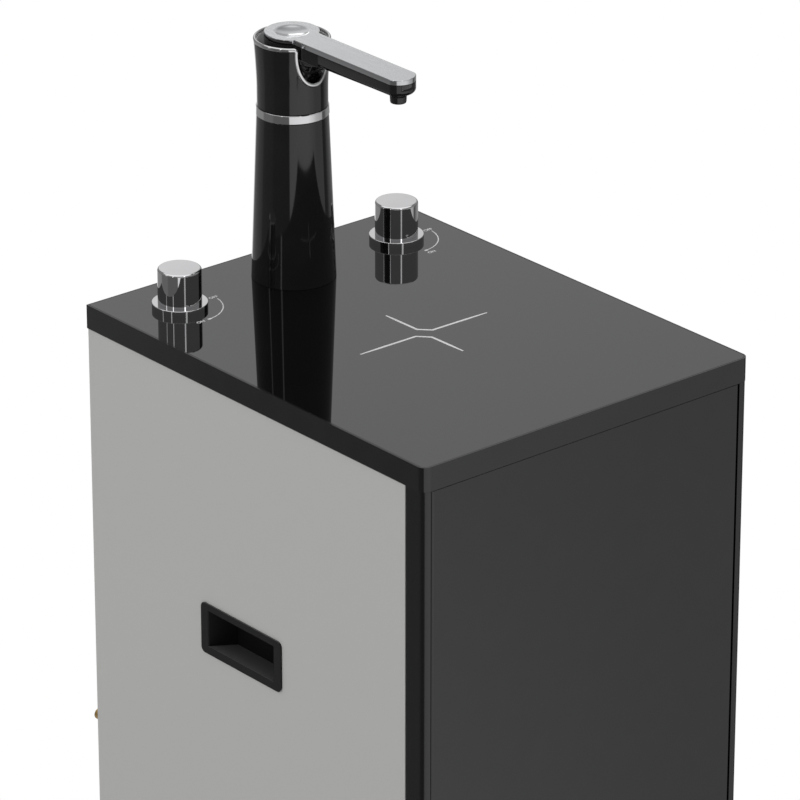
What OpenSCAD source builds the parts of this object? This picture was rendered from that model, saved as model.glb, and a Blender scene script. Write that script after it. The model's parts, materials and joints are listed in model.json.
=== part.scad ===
// Reverse osmosis water purifier: a floor cabinet with a swivelling spout and two quarter-turn taps on top.
// Millimetres, +Z up, the front looks towards -Y. The origin is on the floor, at the centre of the footprint's box.

/* [Cabinet] */
// Width of the top cap
cab_w = 320; // [310:1:380]
// Depth of the top cap
cab_d = 400; // [396:1:460]
// Height from the floor to the glass top
cab_h = 900; // [896:1:1000]
// Corner radius at the front of the top cap, seen from above
cap_corner_r = 7; // [4:0.5:14]
// Height of the top cap's skirt
skirt_h = 19.5; // [17:0.5:30]
// Wall of the top cap's skirt
skirt_wall = 3; // [2.5:0.5:4]
// Thickness of the top cap's plate under the glass
cap_plate_t = 3; // [2:0.5:5]
// Thickness of the glass top
glass_t = 4; // [3:0.5:6]
// Width of the cap's edge left round the glass
glass_edge = 1.2; // [0.8:0.1:3]
// Gap between the glass and the cap's edge
glass_gap = 0.2; // [0.1:0.05:0.5]
// How far the body stands in from the cap on each side
body_inset = 1; // [0.5:0.5:3]
// Thickness of the side and back panels
panel_t = 4; // [2:0.5:5]
// Height of the feet
foot_h = 20; // [12:1:30]
// Radius of a foot
foot_r = 18; // [12:1:22]
// Foot centres in from the sides of the cabinet
foot_in = 34; // [30:1:50]
// Height of the plinth
plinth_h = 40; // [30:1:60]
// Wall of the plinth
plinth_wall = 4; // [3:0.5:6]
// Width of the lip that the back panel is screwed to
lip_w = 14; // [12:1:20]

/* [Front] */
// Depth of the black corner posts along the sides
post_d = 21; // [20:0.5:28]
// Wall of the corner posts
post_t = 4; // [3:0.5:5]
// Front width of the left, hinge side post, also its corner radius
post_w_hinge = 6; // [5:0.5:9]
// Front width of the right, latch side post
post_w_latch = 8.7; // [7:0.1:12]
// Thickness of the stop behind the door's edge
stop_t = 2.4; // [2:0.2:3]
// Reach of the stop inwards from the body's side
stop_reach = 16; // [15:0.5:20]
// Gap between a side panel and its corner post
panel_gap = 1; // [0.5:0.1:2]
// Thickness of the door
door_t = 17.4; // [14:0.2:17.6]
// Skin of the door
door_skin = 4; // [3:0.5:6]
// Width of the door's thick rim
door_rim = 20; // [18:1:30]
// Gap on the hinge side of the door
door_gap_hinge = 0.6; // [0.5:0.1:1]
// Gap on the latch side of the door
door_gap_latch = 2; // [1:0.1:3]
// Gap above and below the door
door_gap_end = 0.6; // [0.5:0.1:2]
// Distance of the hinge axis from the door's front and left faces, also that edge's rounding
hinge_in = 3; // [2.6:0.1:4]
// Radius of a hinge pin
hinge_pin_r = 1.5; // [1.2:0.1:1.8]
// Length of a hinge pin inside the door
hinge_pin_l = 12; // [8:1:16]
// Radial play of pins, stems and spindles in their bores
play = 0.05; // [0.02:0.01:0.08]
// Height of the door magnet
magnet_h = 40; // [30:1:60]
// Width of the door magnet
magnet_w = 12; // [10:1:16]

/* [Side grips] */
// Length of a grip's flange
grip_w = 97; // [80:1:120]
// Height of a grip's flange
grip_h = 41; // [36:1:60]
// How far the flange stands proud of the panel
grip_proud = 1.5; // [1:0.1:3]
// Width of the flange above and below the mouth
grip_flange = 5.5; // [4:0.1:8]
// Width of the flange at the mouth's ends
grip_flange_end = 8.5; // [5:0.1:12]
// Wall of the grip's pocket
grip_wall = 2; // [1.5:0.1:2.6]
// Depth of the grip's pocket
grip_deep = 23; // [20:1:34]
// How much the pocket narrows at each end towards its back
grip_draft = 8; // [0:0.5:10]
// Fall of the pocket's floor towards its back
grip_fall = 2.8; // [0:0.1:4]
// Rise of the finger pocket behind the upper edge
grip_rise = 10; // [6:1:14]
// Depth of the lip that the fingers hook behind
grip_lip = 9; // [6:1:12]
// Corner radius of the flange
grip_corner_r = 4.5; // [3:0.5:6]
// Grip centre below the glass top
grip_down = 221; // [180:1:260]
// Grip centre behind the cabinet's middle
grip_back = 14; // [0:1:40]

/* [Faucet] */
// Column axis in front of the cabinet's back face
faucet_in = 55; // [45:1:80]
// Column radius at its foot
column_r1 = 33.2; // [30:0.2:40]
// Column radius under the ring
column_r2 = 28; // [25:0.2:32]
// Height of the column with its gasket
column_h = 134.5; // [110:0.5:170]
// Radius of the column's bore
column_bore_r = 22; // [18:0.5:23]
// Thickness of the column's floor
column_floor = 9; // [6:0.5:14]
// Thickness of the gasket under the column
gasket_t = 1; // [0.6:0.1:2]
// Height of the chrome swivel ring
ring_h = 6.8; // [4:0.2:10]
// Radius of the chrome swivel ring
ring_r = 28.3; // [26:0.1:32]
// Running gap under the head
head_gap = 0.4; // [0.3:0.1:0.8]
// Radius of the head's straight lower part
head_r1 = 27.5; // [25:0.1:30]
// Radius of the head's rim
head_r2 = 29.7; // [29:0.1:33]
// Height of the head's straight lower part
head_straight = 15; // [8:0.5:18]
// Height of the head
head_h = 54.5; // [50:0.5:70]
// Solid height at the bottom of the head
head_floor = 20.5; // [16:0.5:22]
// Radius of the head's cavity
cavity_r = 25; // [23:0.5:25.5]
// Radius of the cavity at the head's rim
cavity_rim_r = 27.2; // [26:0.1:27.6]
// Half width of the notch with its trim, at the rim
notch_a = 17.4; // [15.8:0.1:19]
// Bottom of the notch with its trim, above the floor of the head's cavity
notch_up = 0.6; // [0.4:0.1:4]
// Width of the chrome trim
trim_w = 3; // [2:0.1:3.2]
// How far the trim stands proud
trim_proud = 0.3; // [0.1:0.05:0.6]
// Radius of the spindle
spindle_r = 12; // [9:0.5:14]
// Length of the swivel bush
bush_l = 34; // [20:1:50]
// Radius of the water way in the spindle and shank
water_r = 4; // [3:0.5:5]
// Radius of the shank under the column
shank_r = 11; // [9:0.5:13]
// Length of the shank below the glass top
shank_l = 60; // [45:1:80]
// Height of the locknut
locknut_h = 10; // [6:1:14]
// Radius of the locknut over its corners
locknut_r = 18; // [16:0.5:24]

/* [Spout] */
// Radius of the hub
hub_r = 21.5; // [19:0.1:22.4]
// Length of the arm from the column's axis to its tip
arm_l = 139.4; // [110:0.2:170]
// Width of the arm
arm_w = 25; // [20:0.2:25.4]
// Radius of the arc at the arm's tip
tip_arc_r = 13.3; // [12.8:0.1:40]
// Rounding of the lower edge at the tip
tip_round = 3; // [2:0.5:6]
// Height of the arm's black body
arm_t = 9.6; // [8.6:0.1:11]
// Thickness of the metal cover
cover_t = 3.8; // [3:0.1:4.4]
// How far the cover's top stands above the rim
cover_up = 4.1; // [2:0.1:6]
// Radius of the dish in the cover
dish_r = 14.5; // [8:0.5:18]
// Depth of the dish
dish_deep = 2.2; // [0.5:0.1:2.6]
// Radius of the curve under the arm's root
root_r = 20; // [14:0.5:20.5]
// Distance of the root's curve from the column's axis
root_in = 26; // [25:0.5:30]
// Radius of the nozzle
nozzle_r = 6.5; // [5.5:0.05:9]
// Length of the nozzle
nozzle_l = 8.3; // [5:0.1:14]
// Nozzle axis in from the arm's tip
nozzle_in = 13.4; // [11:0.1:20]

/* [Taps] */
// Distance of a tap from the cabinet's side
tap_side = 52; // [46:1:70]
// Tap axis in front of the cabinet's back face
tap_in = 50; // [40:1:80]
// Radius of a knob
knob_r = 16.8; // [13:0.1:20]
// Height of a knob
knob_h = 27.5; // [20:0.5:36]
// Rounding of the knob's edges
knob_round = 1; // [0.5:0.1:2]
// Running gap between knob and collar
knob_gap = 0.3; // [0.3:0.05:0.6]
// Radius of a collar
collar_r = 21.7; // [21:0.1:26]
// Height of a collar
collar_h = 5; // [3:0.1:8]
// Radius of a valve stem
stem_r = 4; // [3:0.5:5]
// Radius of the valve's neck through the top
neck_r = 9; // [7.5:0.5:11]
// Clearance of necks and shank in the top
hole_gap = 0.4; // [0.2:0.1:1]
// Radius of a valve body
valve_r = 14; // [12:0.5:18]
// Length of a valve body
valve_l = 43; // [36:1:55]
// Depth that the stem goes into the valve body
stem_in = 24; // [16:1:28]

/* [Filters] */
// Thickness of the bracket plate
bracket_t = 2; // [1.5:0.5:3]
// Front of the bracket plate in front of the cabinet's middle
bracket_y = 48; // [46:1:52]
// Height left free between the bracket plate and the top cap
bracket_head = 20.5; // [18:0.5:30]
// Depth of the bracket's side flanges
bracket_flange = 15; // [10:1:16]
// Bottom of the bracket above the plinth
bracket_up = 320; // [320:1:330]
// Number of pre-filters
pre_n = 3; // [2:1:3]
// Clearance between the row of pre-filters and each side panel
pre_side = 5; // [4:0.5:10]
// Gap between two pre-filter heads
pre_gap = 8; // [6:0.5:14]
// How much a bowl's radius is less than its head's
pre_step = 5; // [4:0.5:8]
// Height of a pre-filter head
pre_head_h = 50; // [40:1:54]
// Height of a pre-filter bowl
pre_bowl_h = 240; // [200:1:244]
// Wall of a bowl
pre_wall = 3.5; // [2:0.5:5]
// Centre of a pre-filter in front of the bracket plate
pre_out = 50; // [47:1:56]
// Underside of the pre-filter heads above the bracket's lower edge
pre_up = 25; // [20:1:28]
// Radius of the membrane housing
membrane_r = 30; // [24:1:32]
// Clearance between the membrane housing's ends and the side panels
membrane_side = 30; // [26:1:40]
// Membrane axis above the bracket's lower edge
membrane_up = 125; // [122:1:128]
// Number of post-filters
post_n = 6; // [4:2:6]
// Clearance between the row of post-filters and each side panel
post_side = 11; // [10:0.5:16]
// Gap between two post-filters
post_gap = 4; // [4:0.5:10]
// Height left free between the post-filters and the top cap
post_head = 50.5; // [48:0.5:70]
// Bottom of the post-filters above the bracket's lower edge
post_up = 220; // [218:1:222]
// Thickness of the filter clips
clip_t = 2; // [1.5:0.1:2.2]
// Width of the filter clips
clip_w = 14; // [10:1:20]

/* [Pump and tank] */
// Radius of the pump motor
motor_r = 32; // [26:1:36]
// Pump axis in front of the cabinet's middle
pump_front = 112; // [108:1:114]
// Length of the pump motor
motor_l = 92; // [70:1:100]
// Size of the pump head
pump_head = 70; // [60:1:74]
// Motor axis above the plinth
motor_up = 42; // [40:1:50]
// Radius of the storage tank
tank_r = 108; // [90:1:112]
// Tank axis behind the cabinet's middle
tank_back = 75; // [68:1:80]
// Height of the storage tank
tank_h = 300; // [240:1:306]
// Wall of the storage tank
tank_wall = 1.5; // [1:0.1:3]
// Height of the tank stand
stand_h = 8; // [4:1:10]
// Radius of the round shoulders of the tank
tank_shoulder = 50; // [30:1:60]
// Length of the tank valve's lever
lever_l = 38; // [25:1:50]

/* [Back] */
// Distance of the inlet and drain fittings from the cabinet's side
port_in = 30; // [24:1:40]
// Inlet fitting above the bracket's lower edge
inlet_up = 145; // [140:1:160]
// Drain fitting below the inlet fitting
drain_down = 60; // [50:1:80]
// How far the inlet fitting stands out from the back
inlet_out = 38; // [28:1:50]
// Radius of the inlet fitting's tail
inlet_r = 4.8; // [4:0.1:6.5]
// Length of the inlet fitting's plain tail
inlet_tail = 22; // [14:1:24]
// Radius of the tube socket in the drain fitting
drain_bore_r = 3.25; // [3.2:0.05:4]
// Depth of the tube socket in the drain fitting
drain_bore_l = 16; // [12:1:18]
// Radius of the lead's bore in the power gland
gland_bore_r = 3.6; // [3:0.1:4.5]
// Height of the power gland above the plinth
gland_up = 60; // [40:1:120]
// Number of cooling slots
slot_n = 8; // [4:1:12]
// Radius of the water tubes
tube_r = 3.2; // [2.5:0.1:3.5]

/* [Hidden] */
$fn = 64;
half_w = cab_w / 2;
half_d = cab_d / 2;
body_x = half_w - body_inset;
inner_x = body_x - panel_t;
inner_back = half_d - panel_t;
y_mid = -inlet_out / 2;
z_plinth = foot_h + plinth_h;
z_skirt = cab_h - skirt_h;
z_cap_under = cab_h - glass_t - cap_plate_t;
body_h = z_skirt - z_plinth;
post_back = post_d - half_d;
eps = 0.01;

door_x0 = -body_x + post_w_hinge + door_gap_hinge;
door_x1 = body_x - post_w_latch - door_gap_latch;
door_z0 = z_plinth + door_gap_end;
door_z1 = z_skirt - door_gap_end;
door_back = door_t - half_d;
stop_front = post_back - stop_t;
hinge_x = door_x0 + hinge_in;
hinge_y = hinge_in - half_d;
pin_seat = 9;
boss_w = 12;
striker_t = 0.5;
magnet_x0 = body_x - stop_reach - magnet_w;
magnet_z = (door_z0 + door_z1) / 2;
magnet_d = 9;

grip_z = cab_h - grip_down;
mouth_w = grip_w - 2 * grip_flange_end;
mouth_h = grip_h - 2 * grip_flange;
window_gap = 0.3;

faucet_y = half_d - faucet_in;
z_column = cab_h + column_h;
z_ring = z_column + ring_h;
z_head = z_ring + head_gap;
z_rim = z_head + head_h;
z_cavity = z_head + head_floor;
notch_b = head_h - head_floor - notch_up;
notch_power = 2.2;
z_cover = z_rim + cover_up;
z_arm_top = z_cover - cover_t;
z_arm = z_arm_top - arm_t;
flare_power = 1.4;
flare_steps = 10;
notch_steps = 20;
seal_r = 1;
seal_z = [z_column - 10, z_column - 22];
clip_gap = 0.4;
spindle_tail = 5;
root_gap = 0.3;

tap_x = half_w - tap_side;
tap_y = half_d - tap_in;
z_knob = cab_h + collar_h + knob_gap;
knob_socket = 18;

bracket_z = z_plinth + bracket_up;
bracket_h = z_skirt - bracket_head - bracket_z;
pre_pitch = 2 * (inner_x - pre_side) / pre_n;
pre_clear = 4;
pre_head_r = min((pre_pitch - pre_gap) / 2, pre_out - pre_clear);
pre_r = pre_head_r - pre_step;
membrane_l = 2 * (inner_x - membrane_side);
post_pitch = 2 * (inner_x - post_side) / post_n;
post_r = (post_pitch - post_gap) / 2;
pre_z = bracket_z + pre_up;
pre_y = -bracket_y - pre_out;
port_half = 18;
port_z = pre_z + pre_head_h / 2;
port_y = 14 - bracket_y;
membrane_z = bracket_z + membrane_up;
membrane_y = -bracket_y - membrane_r - clip_t - 1;
membrane_cap_l = 34;
membrane_x0 = -membrane_l / 2;
post_z = bracket_z + post_up;
post_l = z_skirt - post_head - post_z;
post_y = -bracket_y - post_r - clip_t - 1;
nipple_r = 5;
nipple_l = 18;
pump_nipple_l = 14;
tube_gap = 0.15;
tube_in = 10;
valve_port_z = z_cap_under - valve_l + 8;
feed_x = membrane_x0 + 16;
drain_x = membrane_x0 + 40;
pure_x = membrane_x0 + membrane_l - membrane_cap_l / 2;
through_z = post_z - 34;
tee_h = 16;
tee_w = 30;
tee_z = cab_h - shank_l - tee_h / 2;
lever_stem_r = 3;

pump_y = -pump_front;
pump_z = z_plinth + motor_up;
pump_x = -20;
pump_port_x = pump_x - pump_head / 2;
pump_reach = pump_head / 2 + pump_nipple_l;
supply_w = 56;
supply_d = 100;
supply_h = 46;
tank_y = tank_back;
tank_z = z_plinth + stand_h;
z_tank_top = tank_z + tank_h;
tank_neck_r = 11;
tank_neck_h = 8;
z_lever = z_tank_top + tank_neck_h + 22;
tank_port_l = 30;
tank_port_x = tank_port_l - tube_in;
tank_port_z = z_tank_top + tank_neck_h + 9;

port_x = -body_x + port_in;
inlet_z = bracket_z + inlet_up;
drain_z = inlet_z - drain_down;
gland_z = z_plinth + gland_up;
screw_x = inner_x - lip_w / 2;
screw_zs = [for (k = [0:3]) z_plinth + 40 + k * (body_h - 80) / 3];
solenoid_z = inlet_z;
solenoid_y = bracket_t - bracket_y;
solenoid_d = 44;
switch_x = inner_x - 40;
switch_z = solenoid_z - 30;

// Tubes: their bends, and the points just inside the ports that they end in
bend_r = 12;
bend_steps = 4;
tube_sides = 8;
port_in_y = port_y - tube_in;
tap_port_y = tap_y - valve_r - nipple_l + tube_in;
tap_port_x = tap_x - valve_r - nipple_l + tube_in;
post_low = post_z - nipple_l + tube_in;
post_high = post_z + post_l + nipple_l - tube_in;
membrane_top = membrane_z + membrane_r + nipple_l - tube_in;

// Shared helpers

// The cabinet is centred in depth, and the footprint's box also holds the fittings on the back.
module placed() { translate([0, y_mid, 0]) children(); }

// A rectangle with round corners, centred
module round_rect(w, d, r) {
    square([w - 2 * r, d], center = true);
    square([w, d - 2 * r], center = true);
    for (x = [-1, 1], y = [-1, 1])
        translate([x * (w / 2 - r), y * (d / 2 - r)]) circle(r);
}

// A rectangle with round corners at the front only, centred
module front_rect(w, d, r) {
    translate([-w / 2, r - d / 2]) square([w, d - r]);
    translate([r - w / 2, -d / 2]) square([w - 2 * r, r + eps]);
    for (x = [-1, 1]) translate([x * (w / 2 - r), r - d / 2]) circle(r);
}

// The body's outline under the cap
module body_plan() { front_rect(2 * body_x, cab_d, post_w_hinge); }

// A ring round the Z axis
module ring(r_out, r_in, h) {
    difference() {
        cylinder(h = h, r = r_out);
        translate([0, 0, -1]) cylinder(h = h + 2, r = r_in);
    }
}

// Moves to the column's axis or to a tap's axis
module at_faucet() { translate([0, faucet_y, 0]) children(); }
module at_tap(side) { translate([side * tap_x, tap_y, 0]) children(); }

// A cylinder along +Y or along +X
module along_y(h, r) { rotate([-90, 0, 0]) cylinder(h = h, r = r); }
module along_x(h, r) { rotate([0, 90, 0]) cylinder(h = h, r = r); }

// Cabinet

module plinth() {
    color([0.06, 0.06, 0.065]) placed() difference() {
        union() {
            difference() {
                translate([0, 0, foot_h]) linear_extrude(plinth_h) body_plan();
                translate([-body_x + plinth_wall, -half_d + plinth_wall, foot_h - 1])
                    cube([2 * (body_x - plinth_wall), cab_d - 2 * plinth_wall, plinth_h - plinth_wall + 1]);
            }
            for (x = [-1, 1], y = [-1, 1])
                translate([x * (half_w - foot_in), y * (half_d - foot_in), foot_h])
                    cylinder(h = plinth_h - plinth_wall / 2, r = foot_r + 2);
            translate([hinge_x - boss_w / 2, -half_d + plinth_wall / 2, z_plinth - pin_seat - 2])
                cube([boss_w, boss_w, pin_seat]);
        }
        translate([hinge_x, hinge_y, z_plinth - pin_seat]) cylinder(h = pin_seat + 1, r = hinge_pin_r);
    }
}

module feet() {
    color([0.09, 0.09, 0.09]) placed()
        for (x = [-1, 1], y = [-1, 1])
            translate([x * (half_w - foot_in), y * (half_d - foot_in), 0]) {
                cylinder(h = 3, r1 = foot_r - 2, r2 = foot_r);
                translate([0, 0, 3]) cylinder(h = foot_h - 3, r = foot_r);
            }
}

// The left side panel with its grip window and the lip that the back panel is screwed to
module side_panel() {
    difference() {
        union() {
            translate([-body_x, post_back + panel_gap, z_plinth])
                cube([panel_t, half_d - post_back - panel_gap, body_h]);
            translate([-inner_x - eps, inner_back - panel_t, z_plinth])
                cube([lip_w + eps, panel_t, body_h]);
        }
        translate([-body_x - 1, grip_back, grip_z]) rotate([90, 0, 90])
            linear_extrude(panel_t + 2) square([mouth_w + 2 * (grip_wall + window_gap),
                mouth_h + 2 * (grip_wall + window_gap)], center = true);
        for (z = screw_zs) translate([-screw_x, inner_back - panel_t - 1, z]) along_y(panel_t + 2, 1.7);
    }
}

module left_panel() { color([0.65, 0.65, 0.64]) placed() side_panel(); }
module right_panel() { color([0.65, 0.65, 0.64]) placed() mirror([1, 0, 0]) side_panel(); }

module back_panel() {
    slot_w = 70;
    slot_h = 4;
    slot_pitch = 11;
    color([0.32, 0.32, 0.33]) placed() difference() {
        translate([-inner_x, inner_back, z_plinth]) cube([2 * inner_x, panel_t, body_h]);
        for (x = [-1, 1], z = screw_zs)
            translate([x * screw_x, inner_back - 1, z]) along_y(panel_t + 2, 1.7);
        translate([port_x, inner_back - 1, inlet_z]) along_y(panel_t + 2, inlet_r + 1.7);
        translate([port_x, inner_back - 1, drain_z]) along_y(panel_t + 2, drain_bore_r + 2.8);
        translate([-port_x, inner_back - 1, gland_z]) along_y(panel_t + 2, gland_bore_r + 2.4);
        for (x = [-1, 1], k = [0:slot_n - 1])
            translate([x * 60 - slot_w / 2, inner_back - 1, z_plinth + 150 + k * slot_pitch])
                cube([slot_w, panel_t + 2, slot_h]);
    }
}

// The left corner post: a rounded angle with a stop behind the door's edge
module post_plan(front_w) {
    intersection() {
        union() {
            translate([-body_x, -half_d]) square([post_t, post_d]);
            translate([-body_x, -half_d]) square([front_w, post_t]);
            translate([-body_x, stop_front]) square([stop_reach, stop_t]);
        }
        body_plan();
    }
}

module left_post() {
    color([0.05, 0.05, 0.055]) placed() translate([0, 0, z_plinth])
        linear_extrude(body_h) post_plan(post_w_hinge);
}

module right_post() {
    color([0.05, 0.05, 0.055]) placed() mirror([1, 0, 0]) translate([0, 0, z_plinth])
        linear_extrude(body_h) post_plan(post_w_latch);
}

module top_holes(h) {
    at_faucet() cylinder(h = h, r = shank_r + hole_gap);
    for (side = [-1, 1]) at_tap(side) cylinder(h = h, r = neck_r + hole_gap);
}

module top_cap() {
    color([0.04, 0.04, 0.045]) placed() difference() {
        union() {
            difference() {
                translate([0, 0, z_skirt]) linear_extrude(skirt_h) front_rect(cab_w, cab_d, cap_corner_r);
                translate([-half_w + skirt_wall, -half_d + skirt_wall, z_skirt - 1])
                    cube([cab_w - 2 * skirt_wall, cab_d - 2 * skirt_wall, z_cap_under - z_skirt + 1]);
            }
            translate([hinge_x - boss_w / 2, -half_d + skirt_wall / 2, z_skirt])
                cube([boss_w, boss_w, z_cap_under - z_skirt + eps]);
        }
        translate([0, 0, cab_h - glass_t]) linear_extrude(glass_t + 1)
            front_rect(cab_w - 2 * glass_edge, cab_d - 2 * glass_edge, cap_corner_r - glass_edge);
        translate([0, 0, z_cap_under - 1]) top_holes(cap_plate_t + 2);
        translate([hinge_x, hinge_y, z_skirt - 1]) cylinder(h = pin_seat + 1, r = hinge_pin_r);
    }
}

module top_glass() {
    margin = 2 * (glass_edge + glass_gap);
    color([0.02, 0.02, 0.022]) placed() difference() {
        translate([0, 0, cab_h - glass_t]) linear_extrude(glass_t)
            front_rect(cab_w - margin, cab_d - margin, cap_corner_r - glass_edge - glass_gap);
        translate([0, 0, cab_h - glass_t - 1]) top_holes(glass_t + 2);
    }
}

// Half the pocket's width at a depth below the flange's face
function pocket_half(depth) = mouth_w / 2 - grip_draft * depth / grip_deep;

// The pocket seen from above, from a depth to its back
module pocket_plan(depth) {
    translate([-body_x - grip_proud, grip_back])
        polygon([[depth, -pocket_half(depth)], [grip_deep, -pocket_half(grip_deep)],
            [grip_deep, pocket_half(grip_deep)], [depth, pocket_half(depth)]]);
}

// The wedge that the pocket's floor falls by
module pocket_fall() {
    translate([-body_x - grip_proud, grip_back + mouth_w / 2, grip_z - mouth_h / 2]) rotate([90, 0, 0])
        linear_extrude(mouth_w) polygon([[0, 0], [grip_deep, -grip_fall], [grip_deep, eps], [0, eps]]);
}

// The grip let into the left panel: a flange, a pocket and a finger hollow behind the upper edge
module side_grip() {
    back_x = -body_x - grip_proud + grip_deep;
    low = grip_z - mouth_h / 2 - grip_wall;
    difference() {
        union() {
            translate([-body_x - grip_proud, grip_back, grip_z]) rotate([90, 0, 90])
                linear_extrude(grip_proud) round_rect(grip_w, grip_h, grip_corner_r);
            translate([-body_x - eps, grip_back - mouth_w / 2 - grip_wall, low])
                cube([panel_t + 1, mouth_w + 2 * grip_wall, mouth_h + 2 * grip_wall]);
            translate([-inner_x, grip_back - mouth_w / 2 - grip_wall, low - grip_fall])
                cube([back_x + grip_wall + inner_x, mouth_w + 2 * grip_wall,
                    mouth_h + grip_rise + grip_fall + 2 * grip_wall]);
        }
        translate([0, 0, grip_z - mouth_h / 2]) linear_extrude(mouth_h) pocket_plan(-1);
        intersection() {
            pocket_fall();
            translate([0, 0, low - grip_fall]) linear_extrude(mouth_h) pocket_plan(-1);
        }
        translate([0, 0, grip_z]) linear_extrude(mouth_h / 2 + grip_rise) pocket_plan(grip_lip);
    }
}

module left_grip() { color([0.05, 0.05, 0.05]) placed() side_grip(); }
module right_grip() { color([0.05, 0.05, 0.05]) placed() mirror([1, 0, 0]) side_grip(); }

// Door

module door_plan() {
    translate([door_x0 + hinge_in, -half_d]) square([door_x1 - door_x0 - hinge_in, door_t]);
    translate([door_x0, hinge_y]) square([hinge_in + eps, door_t - hinge_in]);
    translate([hinge_x, hinge_y]) circle(hinge_in);
}

module front_door() {
    hole_l = hinge_pin_l + 2;
    color([0.05, 0.05, 0.055]) placed() difference() {
        translate([0, 0, door_z0]) linear_extrude(door_z1 - door_z0) door_plan();
        translate([door_x0 + door_rim, -half_d + door_skin, door_z0 + door_rim])
            cube([door_x1 - door_x0 - 2 * door_rim, door_t, door_z1 - door_z0 - 2 * door_rim]);
        for (z = [door_z0 - 1, door_z1 - hole_l])
            translate([hinge_x, hinge_y, z]) cylinder(h = hole_l + 1, r = hinge_pin_r + play);
    }
}

module hinge_pins() {
    color([0.7, 0.7, 0.72]) placed() {
        translate([hinge_x, hinge_y, z_plinth - pin_seat])
            cylinder(h = pin_seat + door_gap_end + hinge_pin_l, r = hinge_pin_r);
        translate([hinge_x, hinge_y, door_z1 - hinge_pin_l])
            cylinder(h = hinge_pin_l + door_gap_end + pin_seat, r = hinge_pin_r);
    }
}

module door_magnet() {
    color([0.2, 0.2, 0.2]) placed()
        translate([magnet_x0, stop_front, magnet_z - magnet_h / 2]) cube([magnet_w, magnet_d, magnet_h]);
}

module door_striker() {
    color([0.7, 0.7, 0.72]) placed()
        translate([magnet_x0, door_back, magnet_z - magnet_h / 2]) cube([magnet_w, striker_t, magnet_h]);
}

module back_screws() {
    color([0.75, 0.75, 0.77]) placed()
        for (x = [-1, 1], z = screw_zs) translate([x * screw_x, half_d, z]) {
            along_y(2.2, 3.6);
            translate([0, -2 * panel_t - 2, 0]) along_y(2 * panel_t + 2 + eps, 1.6);
        }
}

// Faucet column

module faucet_gasket() {
    color([0.08, 0.08, 0.08]) placed() at_faucet() translate([0, 0, cab_h])
        ring(column_r1 - 1, shank_r + hole_gap, gasket_t);
}

module faucet_column() {
    wall_h = column_h - gasket_t;
    color([0.03, 0.03, 0.032]) placed() at_faucet() translate([0, 0, cab_h + gasket_t]) difference() {
        cylinder(h = wall_h, r1 = column_r1, r2 = column_r2);
        translate([0, 0, column_floor]) cylinder(h = wall_h, r = column_bore_r);
        translate([0, 0, -1]) cylinder(h = column_floor + 2, r = shank_r);
    }
}

module swivel_ring() {
    color([0.8, 0.8, 0.82]) placed() at_faucet() translate([0, 0, z_column])
        ring(ring_r, spindle_r + 1, ring_h);
}

module swivel_bush() {
    color([0.85, 0.85, 0.8]) placed() at_faucet() translate([0, 0, z_column - bush_l])
        ring(column_bore_r, spindle_r + play, bush_l);
}

module faucet_shank() {
    color([0.75, 0.6, 0.3]) placed() at_faucet() difference() {
        union() {
            translate([0, 0, cab_h - shank_l]) cylinder(h = shank_l + gasket_t + column_floor, r = shank_r);
            translate([-tee_w / 2, -10, cab_h - shank_l - tee_h]) cube([tee_w, 20, tee_h + eps]);
        }
        translate([0, 0, tee_z]) cylinder(h = cab_h + column_floor + 10 - tee_z, r = water_r);
        translate([-tee_w, 0, tee_z]) along_x(2 * tee_w, tube_r + tube_gap);
    }
}

module faucet_washer() {
    color([0.7, 0.7, 0.7]) placed() at_faucet() translate([0, 0, z_cap_under - 2])
        ring(shank_r + 12, shank_r + hole_gap, 2);
}

module faucet_locknut() {
    color([0.75, 0.6, 0.3]) placed() at_faucet() translate([0, 0, z_cap_under - 2 - locknut_h]) difference() {
        cylinder(h = locknut_h, r = locknut_r, $fn = 6);
        translate([0, 0, -1]) cylinder(h = locknut_h + 2, r = shank_r);
    }
}

// Swivelling head

module head_spindle() {
    z0 = z_column - bush_l - spindle_tail;
    color([0.8, 0.65, 0.35]) placed() at_faucet() difference() {
        translate([0, 0, z0]) cylinder(h = z_cavity - z0, r = spindle_r);
        translate([0, 0, z0 - 1]) cylinder(h = z_cavity - z0 + 2, r = water_r);
        for (z = seal_z) translate([0, 0, z - seal_r]) ring(spindle_r + 1, spindle_r - 2 * seal_r, 2 * seal_r);
        translate([0, 0, z_column - bush_l - clip_gap - 1.5]) ring(spindle_r + 1, spindle_r - 1.5, 1.5);
    }
}

module spindle_clip() {
    color([0.6, 0.6, 0.62]) placed() at_faucet() translate([0, 0, z_column - bush_l - clip_gap - 1.5])
        ring(spindle_r + 3, spindle_r - 1.5, 1.5);
}

module spindle_seals() {
    color([0.05, 0.05, 0.05]) placed() at_faucet()
        for (z = seal_z) translate([0, 0, z])
            rotate_extrude() translate([spindle_r - seal_r, 0]) circle(seal_r, $fn = 24);
}

// The head's outer radius along its flare, where 0 is the start and 1 is the rim
function flare_r(t) = head_r1 + (head_r2 - head_r1) * pow(t, flare_power);

// The head's outline, grown outwards
module head_solid(grow = 0) {
    flare_h = head_h - head_straight;
    points = concat(
        [[0, z_head], [head_r1 + grow, z_head], [head_r1 + grow, z_head + head_straight]],
        [for (k = [1:flare_steps]) [flare_r(k / flare_steps) + grow,
            z_head + head_straight + flare_h * k / flare_steps]],
        [[0, z_rim]]);
    rotate_extrude() polygon(points);
}

// A share of a circle's sine or cosine, drawn out to a fuller curve
function fuller(share) = sign(share) * pow(abs(share), 2 / notch_power);

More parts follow.
